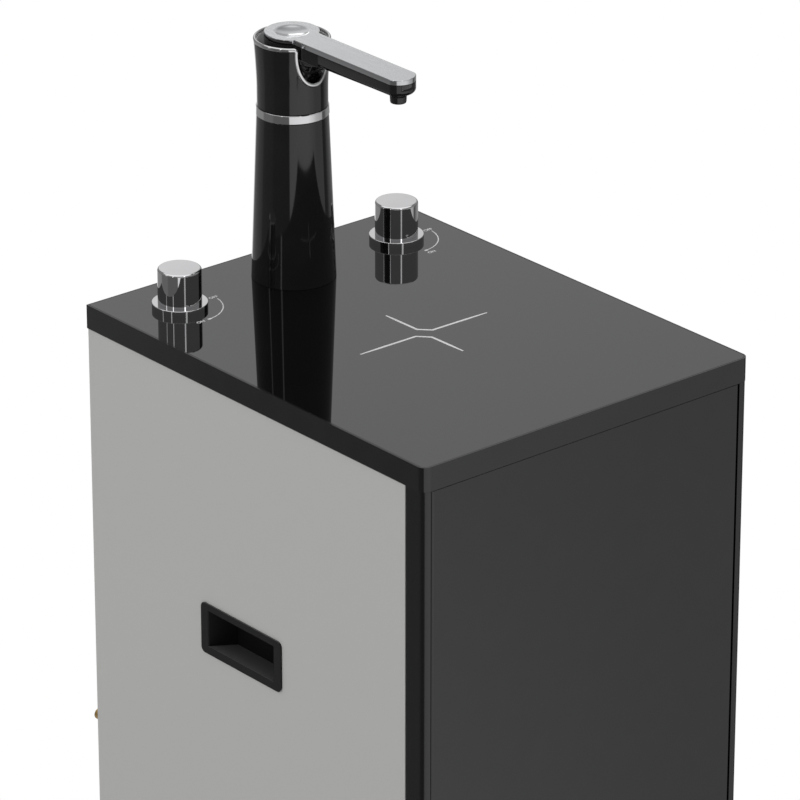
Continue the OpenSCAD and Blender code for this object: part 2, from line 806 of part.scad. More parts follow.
// The notch at the front of the head: half a full ellipse below the rim
module notch(inset = 0) {
    a = notch_a - inset;
    b = notch_b - inset;
    points = concat([[a, z_rim + 10]],
        [for (k = [0:notch_steps]) let (turn = 180 * k / notch_steps)
            [a * fuller(cos(turn)), z_rim - b * fuller(sin(turn))]],
        [[-a, z_rim + 10]]);
    rotate([90, 0, 0]) linear_extrude(2 * head_r2) polygon(points);
}

// The cavity that the hub turns in, wider at the rim
module head_cavity() {
    depth = z_rim - z_cavity;
    translate([0, 0, z_cavity]) cylinder(h = 2 * depth, r1 = cavity_r, r2 = 2 * cavity_rim_r - cavity_r);
}

module faucet_head() {
    color([0.03, 0.03, 0.032]) placed() at_faucet() difference() {
        head_solid();
        head_cavity();
        translate([0, 0, z_head - 1]) cylinder(h = head_floor + 2, r = spindle_r);
        translate([0, 0, z_rim - trim_w]) cylinder(h = trim_w + 1, r = head_r2 + 1);
        notch();
    }
}

module head_trim() {
    color([0.8, 0.8, 0.82]) placed() at_faucet() difference() {
        intersection() {
            head_solid(trim_proud);
            union() {
                translate([0, 0, z_rim - trim_w]) cylinder(h = trim_w + 1, r = head_r2 + 1);
                notch();
            }
        }
        head_cavity();
        notch(trim_w);
    }
}

// Spout

// The outline of hub and arm, seen from above
module spout_plan() {
    circle(hub_r);
    translate([-arm_w / 2, tip_arc_r - arm_l]) square([arm_w, arm_l - tip_arc_r]);
    intersection() {
        translate([-arm_w / 2, -arm_l]) square([arm_w, tip_arc_r + eps]);
        translate([0, tip_arc_r - arm_l]) circle(tip_arc_r);
    }
}

// The curved root that joins hub and arm inside the notch
module arm_root() {
    z0 = z_arm - root_r;
    intersection() {
        difference() {
            translate([-arm_w, -root_in - root_r, z0]) cube([2 * arm_w, root_in + root_r - hub_r / 2, root_r + eps]);
            translate([-arm_w - 1, -root_in - root_r, z0]) along_x(2 * arm_w + 2, root_r);
        }
        notch(trim_w + root_gap);
    }
}

module spout_arm() {
    bore_z = z_arm + arm_t / 2;
    color([0.03, 0.03, 0.032]) placed() at_faucet() difference() {
        union() {
            translate([0, 0, z_arm]) linear_extrude(arm_t) spout_plan();
            translate([0, 0, z_cavity]) cylinder(h = z_arm - z_cavity + eps, r = hub_r);
            arm_root();
        }
        difference() {
            translate([-arm_w, -arm_l - 1, z_arm - 1]) cube([2 * arm_w, tip_round + 1, tip_round + 1]);
            translate([-arm_w - 1, tip_round - arm_l, z_arm + tip_round]) along_x(2 * arm_w + 2, tip_round);
        }
        translate([0, 0, z_cavity - 1]) cylinder(h = bore_z - z_cavity + 1, r = water_r);
        translate([0, nozzle_in - arm_l, bore_z]) along_y(arm_l - nozzle_in, water_r - 0.8);
        translate([0, nozzle_in - arm_l, z_arm - 1]) cylinder(h = bore_z - z_arm + 1, r = water_r - 0.8);
    }
}

module spout_cover() {
    dish_sphere_r = (dish_r * dish_r + dish_deep * dish_deep) / (2 * dish_deep);
    color([0.72, 0.72, 0.73]) placed() at_faucet() difference() {
        translate([0, 0, z_arm_top]) linear_extrude(cover_t) spout_plan();
        translate([0, 0, z_cover + dish_sphere_r - dish_deep]) sphere(dish_sphere_r, $fn = 128);
    }
}

module spout_nozzle() {
    lip_h = 2;
    color([0.04, 0.04, 0.04]) placed() at_faucet() translate([0, nozzle_in - arm_l, z_arm]) difference() {
        union() {
            translate([0, 0, -nozzle_l]) cylinder(h = nozzle_l, r = nozzle_r - 0.6);
            translate([0, 0, -nozzle_l]) cylinder(h = nozzle_l - lip_h, r = nozzle_r);
        }
        translate([0, 0, -nozzle_l - 1]) cylinder(h = nozzle_l + 2, r = water_r);
    }
}

// Taps

module collar() {
    translate([0, 0, cab_h]) ring(collar_r, stem_r + hole_gap, collar_h);
}

module knob() {
    outline = concat([[0, 0]],
        [for (k = [0:4]) [knob_r - knob_round + knob_round * sin(90 * k / 4), knob_round * (1 - cos(90 * k / 4))]],
        [for (k = [0:4]) [knob_r - knob_round + knob_round * cos(90 * k / 4),
            knob_h - knob_round + knob_round * sin(90 * k / 4)]],
        [[0, knob_h]]);
    translate([0, 0, z_knob]) difference() {
        rotate_extrude() polygon(outline);
        translate([0, 0, -1]) cylinder(h = knob_socket + 1, r = stem_r);
    }
}

module stem() {
    z0 = z_cap_under - stem_in;
    translate([0, 0, z0]) cylinder(h = z_knob + knob_socket - z0, r = stem_r);
}

// The valve body under the top: a neck through it, an inlet at the front and an outlet towards the column
module valve(side) {
    difference() {
        union() {
            translate([0, 0, z_cap_under - valve_l]) cylinder(h = valve_l, r = valve_r);
            translate([0, 0, z_cap_under - eps]) cylinder(h = cab_h - z_cap_under - hole_gap, r = neck_r);
            for (turn = [0, -90 * side]) translate([0, 0, valve_port_z]) rotate([90, 0, turn])
                cylinder(h = valve_r + nipple_l, r = nipple_r);
        }
        translate([0, 0, z_cap_under - stem_in - 1]) cylinder(h = stem_in + skirt_h, r = stem_r + play);
        for (turn = [0, -90 * side]) translate([0, 0, valve_port_z]) rotate([90, 0, turn])
            translate([0, 0, valve_r + 2]) cylinder(h = nipple_l, r = tube_r + tube_gap);
    }
}

module left_collar() { color([0.8, 0.8, 0.82]) placed() at_tap(-1) collar(); }
module right_collar() { color([0.8, 0.8, 0.82]) placed() at_tap(1) collar(); }
module left_knob() { color([0.8, 0.8, 0.82]) placed() at_tap(-1) knob(); }
module right_knob() { color([0.8, 0.8, 0.82]) placed() at_tap(1) knob(); }
module left_stem() { color([0.8, 0.65, 0.35]) placed() at_tap(-1) stem(); }
module right_stem() { color([0.8, 0.65, 0.35]) placed() at_tap(1) stem(); }
module left_valve() { color([0.75, 0.6, 0.3]) placed() at_tap(-1) valve(-1); }
module right_valve() { color([0.75, 0.6, 0.3]) placed() at_tap(1) valve(1); }

// Filters

function pre_x(k) = (k - (pre_n - 1) / 2) * pre_pitch;
function post_x(k) = (k - (post_n - 1) / 2) * post_pitch;

module filter_bracket() {
    color([0.8, 0.8, 0.8]) placed() difference() {
        union() {
            translate([-inner_x, -bracket_y, bracket_z]) cube([2 * inner_x, bracket_t, bracket_h]);
            for (x = [-inner_x, inner_x - bracket_t])
                translate([x, -bracket_y, bracket_z]) cube([bracket_t, bracket_flange, bracket_h]);
        }
        for (k = [0:pre_n - 1], x = [-1, 1])
            translate([pre_x(k) + x * port_half, -bracket_y - 1, port_z]) along_y(bracket_t + 2, nipple_r + 1);
        for (x = [drain_x, post_x(post_n - 1)])
            translate([x, -bracket_y - 1, through_z]) along_y(bracket_t + 2, tube_r + 2);
    }
}

module prefilter_heads() {
    boss_h = 30;
    color([0.1, 0.25, 0.55]) placed() for (k = [0:pre_n - 1]) difference() {
        union() {
            translate([pre_x(k), pre_y, pre_z]) cylinder(h = pre_head_h, r = pre_head_r);
            translate([pre_x(k) - 30, pre_y, port_z - boss_h / 2]) cube([60, pre_out, boss_h]);
            for (x = [-1, 1]) translate([pre_x(k) + x * port_half, -bracket_y - 1, port_z])
                along_y(port_y + bracket_y + 1, nipple_r);
        }
        for (x = [-1, 1]) translate([pre_x(k) + x * port_half, -bracket_y, port_z])
            along_y(bracket_t + 30, tube_r + tube_gap);
    }
}

module prefilter_bowls() {
    foot_cut = 12;
    color([0.92, 0.93, 0.95]) placed() for (k = [0:pre_n - 1])
        translate([pre_x(k), pre_y, pre_z - pre_bowl_h]) difference() {
            union() {
                cylinder(h = foot_cut, r1 = pre_r - foot_cut, r2 = pre_r);
                translate([0, 0, foot_cut]) cylinder(h = pre_bowl_h - foot_cut, r = pre_r);
                translate([0, 0, pre_bowl_h - 22]) cylinder(h = 22, r = pre_head_r - 1);
            }
            translate([0, 0, foot_cut]) cylinder(h = pre_bowl_h, r = pre_r - pre_wall);
        }
}

module prefilter_cartridges() {
    color([0.96, 0.96, 0.94]) placed() for (k = [0:pre_n - 1])
        translate([pre_x(k), pre_y, pre_z - pre_bowl_h + 12])
            ring(pre_r - pre_wall - 6, 14, pre_bowl_h - 12);
}

// The membrane housing: its inlet looks to the front, its drain upwards
module membrane_housing() {
    color([0.95, 0.95, 0.95]) placed() difference() {
        union() {
            translate([membrane_x0, membrane_y, membrane_z]) along_x(membrane_l - membrane_cap_l, membrane_r);
            translate([feed_x, membrane_y, membrane_z]) rotate([90, 0, 0])
                cylinder(h = membrane_r + nipple_l, r = nipple_r);
            translate([drain_x, membrane_y, membrane_z]) cylinder(h = membrane_r + nipple_l, r = nipple_r);
        }
        translate([feed_x, membrane_y - membrane_r - 2, membrane_z]) rotate([90, 0, 0])
            cylinder(h = nipple_l, r = tube_r + tube_gap);
        translate([drain_x, membrane_y, membrane_z + membrane_r + 2])
            cylinder(h = nipple_l, r = tube_r + tube_gap);
    }
}

module membrane_cap() {
    nose = 6;
    x0 = membrane_x0 + membrane_l - membrane_cap_l;
    color([0.1, 0.25, 0.55]) placed() difference() {
        union() {
            translate([x0, membrane_y, membrane_z]) along_x(membrane_cap_l - nose, membrane_r + 2);
            translate([x0, membrane_y, membrane_z]) along_x(membrane_cap_l, membrane_r - nose);
            translate([pure_x, membrane_y, membrane_z]) cylinder(h = membrane_r + nipple_l, r = nipple_r);
        }
        translate([pure_x, membrane_y, membrane_z + membrane_r + 4])
            cylinder(h = nipple_l, r = tube_r + tube_gap);
    }
}

module post_filters() {
    end_h = 12;
    color([0.95, 0.95, 0.96]) placed() for (k = [0:post_n - 1])
        translate([post_x(k), post_y, post_z]) difference() {
            union() {
                cylinder(h = end_h, r1 = post_r - 8, r2 = post_r);
                translate([0, 0, end_h]) cylinder(h = post_l - 2 * end_h, r = post_r);
                translate([0, 0, post_l - end_h]) cylinder(h = end_h, r1 = post_r, r2 = post_r - 8);
                translate([0, 0, -nipple_l]) cylinder(h = post_l + 2 * nipple_l, r = nipple_r);
            }
            translate([0, 0, -nipple_l - 1]) cylinder(h = nipple_l, r = tube_r + tube_gap);
            translate([0, 0, post_l + 1]) cylinder(h = nipple_l, r = tube_r + tube_gap);
        }
}

// A spring clip round the Z axis, open towards -Y, with its foot on the bracket plate
module clip(r) {
    difference() {
        union() {
            ring(r + clip_t, r + 0.2, clip_w);
            translate([-8, r, 0]) cube([16, clip_t + 1, clip_w]);
        }
        translate([-0.75 * r, -2 * r, -1]) cube([1.5 * r, 2 * r, clip_w + 2]);
        translate([0, 0, -1]) cylinder(h = clip_w + 2, r = r + 0.2);
    }
}

module filter_clips() {
    color([0.9, 0.9, 0.9]) placed() {
        for (k = [0:post_n - 1], z = [40, post_l - 40 - clip_w])
            translate([post_x(k), post_y, post_z + z]) clip(post_r);
        for (x = [50, membrane_l - membrane_cap_l - 50])
            translate([membrane_x0 + x, membrane_y, membrane_z]) rotate([0, 90, 0]) clip(membrane_r);
    }
}

// Pump, power and tank

module pump_motor() {
    saddle_w = 0.55 * motor_l;
    color([0.55, 0.55, 0.57]) placed() {
        translate([pump_x, pump_y, pump_z]) along_x(motor_l, motor_r);
        translate([pump_x + (motor_l - saddle_w) / 2, pump_y - motor_r * 0.8, z_plinth])
            cube([saddle_w, motor_r * 1.6, motor_up - motor_r * 0.6]);
    }
}

// The pump head: water comes in at the back and leaves at the front
module pump_head_block() {
    color([0.12, 0.12, 0.13]) placed() translate([pump_port_x, pump_y, pump_z]) difference() {
        union() {
            cube(pump_head, center = true);
            for (turn = [-90, 90]) rotate([turn, 0, 0]) cylinder(h = pump_reach, r = nipple_r);
        }
        for (turn = [-90, 90]) rotate([turn, 0, 0])
            translate([0, 0, pump_head / 2 + 2]) cylinder(h = pump_nipple_l, r = tube_r + tube_gap);
    }
}

module power_supply() {
    color([0.1, 0.1, 0.1]) placed() translate([inner_x - supply_w - 4, pump_y - supply_d / 2, z_plinth])
        cube([supply_w, supply_d, supply_h]);
}

// The tank's outline of revolution: a straight wall with round shoulders, offset inwards by a wall
module tank_outline(inset) {
    r = tank_r - inset;
    s = tank_shoulder - inset;
    h = tank_h - 2 * inset;
    intersection() {
        union() {
            translate([0, s]) square([r, h - 2 * s]);
            square([r - s, h]);
            for (z = [s, h - s]) translate([r - s, z]) circle(s);
        }
        square([r + 1, h]);
    }
}

module storage_tank() {
    color([0.9, 0.9, 0.9]) placed() translate([0, tank_y, tank_z]) difference() {
        union() {
            rotate_extrude() tank_outline(0);
            translate([0, 0, tank_h - eps]) cylinder(h = tank_neck_h, r = tank_neck_r);
        }
        translate([0, 0, tank_wall]) rotate_extrude() tank_outline(tank_wall);
        translate([0, 0, tank_h - 10]) cylinder(h = 30, r = water_r);
    }
}

module tank_stand() {
    color([0.1, 0.1, 0.1]) placed() translate([0, tank_y, z_plinth])
        ring(tank_r - tank_shoulder, tank_r - tank_shoulder - 20, stand_h);
}

module tank_valve() {
    z0 = z_tank_top + tank_neck_h - eps;
    color([0.95, 0.95, 0.95]) placed() translate([0, tank_y, z0]) difference() {
        union() {
            cylinder(h = 18, r = tank_neck_r + 2);
            translate([0, 0, 9]) along_x(tank_port_l, nipple_r);
        }
        translate([0, 0, -1]) cylinder(h = 8, r = water_r);
        translate([16, 0, 9]) along_x(20, tube_r + tube_gap);
        translate([0, 0, 10]) cylinder(h = 20, r = lever_stem_r + play);
    }
}

module tank_lever() {
    stem_l = 10;
    bar_w = 10;
    bar_t = 5;
    color([0.1, 0.3, 0.7]) placed() translate([0, tank_y, z_lever]) {
        translate([0, 0, -stem_l]) cylinder(h = stem_l + bar_t, r = lever_stem_r);
        cylinder(h = bar_t, r = bar_w - 2);
        translate([-bar_w / 2, 0, 0]) cube([bar_w, lever_l, bar_t]);
    }
}

// Inlet valve and pressure switch behind the bracket plate

module solenoid_valve() {
    color([0.9, 0.9, 0.88]) placed() difference() {
        union() {
            translate([port_x - 17, solenoid_y, solenoid_z - 18]) cube([34, solenoid_d, 36]);
            translate([port_x, solenoid_y + solenoid_d - 1, solenoid_z]) along_y(12, nipple_r);
            translate([port_x, solenoid_y + 22, solenoid_z - 30]) cylinder(h = 13, r = nipple_r);
        }
        translate([port_x, solenoid_y + solenoid_d, solenoid_z]) along_y(20, tube_r + tube_gap);
        translate([port_x, solenoid_y + 22, solenoid_z - 31]) cylinder(h = 12, r = tube_r + tube_gap);
    }
}

module pressure_switch() {
    color([0.15, 0.15, 0.16]) placed() {
        translate([switch_x - 15, solenoid_y, switch_z - 20]) cube([30, 26, 40]);
        translate([switch_x, solenoid_y + 13, switch_z + 20 - eps]) cylinder(h = 12, r = 9);
    }
}

// Water tubes: runs with round bends, swept along points chosen by hand

function unit(v) = v / norm(v);

// The points of one round bend at b, between the runs from a and to c
function bend(a, b, c) =
    let (u = unit(a - b), v = unit(c - b), half = acos(u * v) / 2, turn = 180 - 2 * half,
         centre = b + unit(u + v) * bend_r / sin(half),
         s = b + u * bend_r / tan(half) - centre, e = b + v * bend_r / tan(half) - centre)
    [for (k = [0:bend_steps]) centre
        + (sin(turn * (1 - k / bend_steps)) * s + sin(turn * k / bend_steps) * e) / sin(turn)];

function tube_path(p) = concat([p[0]],
    [for (k = [1:1:len(p) - 2]) each bend(p[k - 1], p[k], p[k + 1])], [p[len(p) - 1]]);

function tangent(p, k) = unit(p[min(k + 1, len(p) - 1)] - p[max(k - 1, 0)]);

// A vector square to the path at each point, carried along without twist
function carried(p) = [for (k = 0, t = tangent(p, 0), n = unit(cross(t, [0.31, 0.52, 0.79])); k < len(p);
    k = k + 1, t = tangent(p, min(k, len(p) - 1)), n = unit(n - (n * t) * t)) n];

module tube(points) {
    p = tube_path(points);
    n = carried(p);
    m = tube_sides;
    last = len(p) - 1;
    verts = [for (k = [0:last]) let (b = cross(tangent(p, k), n[k])) for (j = [0:m - 1])
        p[k] + tube_r * (n[k] * cos(360 * j / m) + b * sin(360 * j / m))];
    walls = [for (k = [0:last - 1], j = [0:m - 1]) each [
        [k * m + j, (k + 1) * m + j, k * m + (j + 1) % m],
        [k * m + (j + 1) % m, (k + 1) * m + j, (k + 1) * m + (j + 1) % m]]];
    caps = [for (j = [1:m - 2]) each [[0, j, j + 1], [last * m, last * m + j + 1, last * m + j]]];
    polyhedron(points = verts, faces = concat(walls, caps), convexity = 6);
}

// A jumper between two ports in a row: out, across and back
module jumper(from, to, out) { tube([from, from + out, to + out, to]); }

module water_tubes() {
    front_y = door_back + 8;
    corner_x = -inner_x + 9;
    run_y = -bracket_y - 60;
    behind_y = 28 - bracket_y;
    low_y = 2 - bracket_y;
    rise_x = 60;
    half_way = (tap_port_x + tee_w / 2) / 2;
    color([0.9, 0.92, 0.95]) placed() {
        // Inlet fitting to the solenoid valve, then to the first pre-filter
        tube([[port_x, inner_back - tube_in, inlet_z], [port_x, solenoid_y + solenoid_d + 2, inlet_z]]);
        tube([[port_x, solenoid_y + 22, solenoid_z - 22],
            [port_x, solenoid_y + 22, solenoid_z - 55],
            [pre_x(0) - port_half, port_y + 34, port_z],
            [pre_x(0) - port_half, port_in_y, port_z]]);
        // From one pre-filter to the next
        for (k = [0:pre_n - 2])
            jumper([pre_x(k) + port_half, port_in_y, port_z], [pre_x(k + 1) - port_half, port_in_y, port_z],
                [0, 36, 0]);
        // Last pre-filter to the pump
        tube([[pre_x(pre_n - 1) + port_half, port_in_y, port_z],
            [pre_x(pre_n - 1) + port_half, port_y + 22, port_z],
            [pre_x(pre_n - 1) + port_half, port_y + 22, pump_z],
            [pre_x(pre_n - 1) + port_half, low_y, pump_z],
            [pump_port_x, low_y, pump_z],
            [pump_port_x, pump_y + pump_reach - tube_in, pump_z]]);
        // Pump to the membrane
        tube([[pump_port_x, pump_y - pump_reach + tube_in, pump_z],
            [pump_port_x, front_y, pump_z],
            [corner_x, front_y, pump_z],
            [corner_x, front_y, membrane_z],
            [feed_x, front_y, membrane_z],
            [feed_x, membrane_y - membrane_r - nipple_l + tube_in, membrane_z]]);
        // Membrane to the first post-filter
        tube([[pure_x, membrane_y, membrane_top],
            [pure_x, membrane_y, through_z],
            [pure_x, run_y, through_z],
            [post_x(0), run_y, through_z],
            [post_x(0), post_y, through_z],
            [post_x(0), post_y, post_low]]);
        // Membrane to the drain fitting
        tube([[drain_x, membrane_y, membrane_top],
            [drain_x, membrane_y, through_z],
            [drain_x, behind_y, through_z],
            [port_x, tank_y, drain_z],
            [port_x, inner_back - tube_in, drain_z]]);
        // From one post-filter to the next, over the top and underneath in turn
        for (k = [0:2:post_n - 2])
            jumper([post_x(k), post_y, post_high], [post_x(k + 1), post_y, post_high], [0, 0, 26]);
        for (k = [1:2:post_n - 3])
            jumper([post_x(k), post_y, post_low], [post_x(k + 1), post_y, post_low], [0, 0, -26]);
        // Last post-filter to the right tap, storage tank to the left tap
        tube([[post_x(post_n - 1), post_y, post_low],
            [post_x(post_n - 1), post_y, through_z],
            [post_x(post_n - 1), behind_y, through_z],
            [tap_x, behind_y, valve_port_z],
            [tap_x, tap_port_y, valve_port_z]]);
        tube([[tank_port_x, tank_y, tank_port_z],
            [rise_x, tank_y, tank_port_z],
            [rise_x, tank_y, through_z],
            [-tap_x, tank_y, post_z + 100],
            [-tap_x, tank_y, valve_port_z],
            [-tap_x, tap_port_y, valve_port_z]]);
        // Both taps to the shank
        for (side = [-1, 1])
            tube([[side * tap_port_x, tap_y, valve_port_z],
                [side * (half_way + 2), tap_y, valve_port_z],
                [side * (half_way - 9), faucet_y, tee_z],
                [side * (tee_w / 2 - 6), faucet_y, tee_z]]);
    }
}

// Fittings on the back

module inlet_fitting() {
    hex_r = 10;
    hex_h = 7;
    color([0.8, 0.62, 0.25]) placed() translate([port_x, half_d, inlet_z]) rotate([-90, 0, 0]) difference() {
        union() {
            cylinder(h = hex_h, r = hex_r, $fn = 6);
            cylinder(h = inlet_out - inlet_tail, r = inlet_r + 1.6);
            cylinder(h = inlet_out, r = inlet_r);
            translate([0, 0, -panel_t - 20]) cylinder(h = panel_t + 20, r = inlet_r + 1.6);
            translate([0, 0, -panel_t - 6]) cylinder(h = 6, r = hex_r, $fn = 6);
        }
        translate([0, 0, -panel_t - 21]) cylinder(h = inlet_out + panel_t + 30, r = tube_r + tube_gap);
    }
}

module drain_fitting() {
    out = 22;
    color([0.92, 0.92, 0.92]) placed() translate([port_x, half_d, drain_z]) rotate([-90, 0, 0]) difference() {
        union() {
            cylinder(h = 5, r = 11);
            cylinder(h = out, r = drain_bore_r + 4.5);
            translate([0, 0, -panel_t - 18]) cylinder(h = panel_t + 18, r = drain_bore_r + 2.7);
            translate([0, 0, -panel_t - 5]) cylinder(h = 5, r = 10, $fn = 6);
        }
        translate([0, 0, out - drain_bore_l]) cylinder(h = drain_bore_l + 1, r = drain_bore_r);
        translate([0, 0, -panel_t - 19]) cylinder(h = out + panel_t + 10, r = 2);
        translate([0, 0, -panel_t - 19]) cylinder(h = 13, r = tube_r + tube_gap);
    }
}

module power_gland() {
    out = 16;
    color([0.07, 0.07, 0.07]) placed() translate([-port_x, half_d, gland_z]) rotate([-90, 0, 0]) difference() {
        union() {
            cylinder(h = 5, r = 10, $fn = 6);
            translate([0, 0, 5 - eps]) cylinder(h = out - 5, r1 = 8, r2 = 6);
            translate([0, 0, -panel_t - 8]) cylinder(h = panel_t + 8 + eps, r = gland_bore_r + 2.3);
            translate([0, 0, -panel_t - 5]) cylinder(h = 5, r = 9, $fn = 6);
        }
        translate([0, 0, -panel_t - 9]) cylinder(h = out + panel_t + 10, r = gland_bore_r);
    }
}

plinth();
feet();
left_panel();
right_panel();
back_panel();
left_post();
right_post();
top_cap();
top_glass();
left_grip();
right_grip();
front_door();
hinge_pins();
door_magnet();
door_striker();
back_screws();
faucet_gasket();
faucet_column();
swivel_ring();
swivel_bush();
faucet_shank();
faucet_washer();
faucet_locknut();
head_spindle();
spindle_clip();
spindle_seals();
faucet_head();
head_trim();
spout_arm();
spout_cover();
spout_nozzle();
left_collar();
right_collar();
left_knob();
right_knob();
left_stem();
right_stem();
left_valve();
right_valve();
filter_bracket();
prefilter_heads();
prefilter_bowls();
prefilter_cartridges();
membrane_housing();
membrane_cap();
post_filters();
filter_clips();
pump_motor();
pump_head_block();
power_supply();
storage_tank();
tank_stand();
tank_valve();
tank_lever();
solenoid_valve();
pressure_switch();
water_tubes();
inlet_fitting();
drain_fitting();
power_gland();
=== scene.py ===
"""Looks of a floor-standing water purifier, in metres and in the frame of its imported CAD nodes."""

import json
import math

import bmesh
import bpy
from bpy.props import FloatProperty, FloatVectorProperty, PointerProperty
from mathutils import Matrix, Vector


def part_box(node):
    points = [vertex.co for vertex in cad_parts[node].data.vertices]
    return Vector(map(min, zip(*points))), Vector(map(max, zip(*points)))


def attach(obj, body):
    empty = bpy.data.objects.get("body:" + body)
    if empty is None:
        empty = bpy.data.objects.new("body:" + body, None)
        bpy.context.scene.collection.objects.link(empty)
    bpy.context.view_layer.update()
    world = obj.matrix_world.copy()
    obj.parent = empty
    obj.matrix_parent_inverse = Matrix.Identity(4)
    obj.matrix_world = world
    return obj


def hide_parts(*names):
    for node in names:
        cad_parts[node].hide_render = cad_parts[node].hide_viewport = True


bl_info = {
    "name": "Water purifier",
    "version": (1, 0, 0),
    "blender": (4, 5, 0),
    "location": "3D View > Sidebar > Purifier",
    "description": "Dresses a floor-standing water purifier with its surfaces, edges and printed marks",
    "category": "Object",
}

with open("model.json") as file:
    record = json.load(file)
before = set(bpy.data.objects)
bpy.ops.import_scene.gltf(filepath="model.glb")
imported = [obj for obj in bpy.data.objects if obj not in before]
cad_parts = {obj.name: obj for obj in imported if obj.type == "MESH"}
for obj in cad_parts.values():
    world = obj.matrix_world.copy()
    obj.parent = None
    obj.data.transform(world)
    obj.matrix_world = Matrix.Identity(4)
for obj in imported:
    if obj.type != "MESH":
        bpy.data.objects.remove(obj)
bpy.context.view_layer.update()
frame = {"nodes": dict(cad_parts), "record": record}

MM = 0.001
# How near two points of a CAD mesh, and of a drawn one, are joined
CAD_WELD = 0.00001
WELD = 0.000002
# How near a face a point counts as on it
NEAR = 0.0001
BODY_OF = {n: body for body, nodes in frame["record"]["behaviour"]["bodies"].items() for n in nodes}
SLOT_OF = {row["node"]: row["material_slot"] for row in frame["record"]["subparts"]}


def length(name, description, default):
    """A size property, in metres."""
    return FloatProperty(
        name=name, description=description, default=default, min=0.0, unit="LENGTH", precision=5
    )


def colour(name, description, default):
    """A colour property."""
    return FloatVectorProperty(
        name=name, description=description, default=default, min=0.0, max=1.0, size=3, subtype="COLOR"
    )


class PurifierSizes(bpy.types.PropertyGroup):
    """Sizes of edges, of the trim and the arm, and of printed marks"""

    glass_edge: length("Glass edge", "Polished edge of the glass top", 0.0002)
    cap_edge: length("Cap edge", "Rounding of the top cap's edges", 0.0002)
    panel_edge: length("Panel edge", "Rounding of the edges of the panels and the plinth", 0.0006)
    door_edge: length("Door edge", "Rounding of the door's edges", 0.0002)
    post_edge: length("Post edge", "Rounding of the corner posts' edges", 0.00015)
    grip_edge: length("Grip edge", "Rounding of the hand grips' edges", 0.0004)
    grip_drop: length("Grip drop", "How far the grips' flanges are drawn down at the foot", 0.0014)
    column_edge: length("Column edge", "Rounding of the rims of the column and its ring", 0.0005)
    head_edge: length("Head edge", "Rounding of the head's edges", 0.0002)
    trim_width: length("Trim width", "Width of the chrome trim along the head", 0.0034)
    trim_height: length("Trim height", "Thickness of the chrome trim across the head's wall", 0.0026)
    cover_edge: length("Cover edge", "Rounding of the spout cover's edges", 0.0006)
    arm_edge: length("Arm edge", "Rounding of the spout arm's lower edge", 0.004)
    arm_depth: length("Arm depth", "Height of the spout arm under its cover", 0.0096)
    arm_length: length("Arm length", "Length of the spout arm up to its root", 0.0929)
    nozzle_edge: length("Nozzle edge", "Rounding of the nozzle's edges", 0.0002)
    knob_edge: length("Knob edge", "Rounding of the knobs' top edges", 0.0018)
    collar_edge: length("Collar edge", "Rounding of the collars' top edges", 0.0005)
    line_width: length("Line width", "Width of the printed lines of the cup mark", 0.0023)
    dial_radius: length("Dial radius", "Radius of the printed arc round a tap", 0.033)
    dial_width: length("Dial line width", "Width of the printed arc round a tap", 0.0009)
    dot_width: length("Dot width", "Width of the printed dot at the arc's end", 0.0022)
    letter_size: length("Letter size", "Size of the printed ON and OFF", 0.0046)


class PurifierColours(bpy.types.PropertyGroup):
    """Colours of the finishes"""

    black_gloss: colour("Polished black", "Door, cap, column and spout", (0.0055, 0.0055, 0.0058))
    black_satin: colour("Satin black", "Posts, plinth and black pieces inside", (0.003, 0.003, 0.0032))
    # Painted shade and light in the grips: the pocket's colour is darker than the flange's as painted shade,
    # and the pale colour of the pocket's floor is painted light
    black_grip: colour("Grained black", "Pockets of the hand grips", (0.005, 0.005, 0.0051))
    grip_flange: colour("Flange black", "Flanges of the hand grips", (0.014, 0.014, 0.014))
    grip_dust: colour("Painted light", "Dust on the floors of the hand grips", (0.078, 0.078, 0.078))
    black_glass: colour("Black glass", "Glass of the top", (0.0022, 0.0022, 0.0025))
    panel_grey: colour("Panel grey", "Side panels", (0.40, 0.40, 0.39))
    back_grey: colour("Back grey", "Back panel", (0.085, 0.085, 0.09))
    chrome: colour("Chrome", "Knobs, collars, ring and trim", (0.56, 0.56, 0.57))
    satin_metal: colour("Satin metal", "Cover of the spout", (0.49, 0.495, 0.505))
    print_grey: colour("Print", "Marks printed on the glass", (0.60, 0.60, 0.60))
    brass: colour("Brass", "Inlet fitting, valves, stems and spindle", (0.72, 0.48, 0.19))
    steel: colour("Steel", "Screws, pins, washer, clip and striker", (0.56, 0.56, 0.57))
    white: colour("White plastic", "Filters, clips and small valves", (0.78, 0.79, 0.79))
    blue: colour("Blue plastic", "Filter heads, membrane cap and tank lever", (0.012, 0.055, 0.28))
    tank_white: colour("Tank paint", "Storage tank", (0.78, 0.78, 0.77))
    bracket_grey: colour("Bracket paint", "Filter bracket", (0.60, 0.60, 0.60))
    motor_grey: colour("Motor paint", "Motor of the pump", (0.26, 0.26, 0.275))
    rubber: colour("Rubber", "Feet, gasket and seals", (0.018, 0.018, 0.018))
    lining_grey: colour("Lining", "Lining of the head's rim", (0.70, 0.70, 0.705))
    tube_milk: colour("Tube", "Water tubes", (0.82, 0.84, 0.85))
    magnet_grey: colour("Magnet", "Magnet of the door", (0.035, 0.034, 0.033))


def sizes():
    """The sizes that the user can change."""
    return bpy.context.scene.purifier_sizes


def colours():
    """The colours that the user can change."""
    return bpy.context.scene.purifier_colours


# Finishes


# The values that a noise mostly keeps to
GRAIN_LOW = 0.3
GRAIN_HIGH = 0.7


def shaded(name, metallic=0.0, coat=0.0):
    """A new material with its shader, its node tree and its object coordinates."""
    material = bpy.data.materials.new(name)
    material.use_nodes = True
    tree = material.node_tree
    shader = tree.nodes["Principled BSDF"]
    shader.inputs["Metallic"].default_value = metallic
    shader.inputs["Coat Weight"].default_value = coat
    where = tree.nodes.new("ShaderNodeTexCoord")
    return material, tree, shader, where.outputs["Object"]


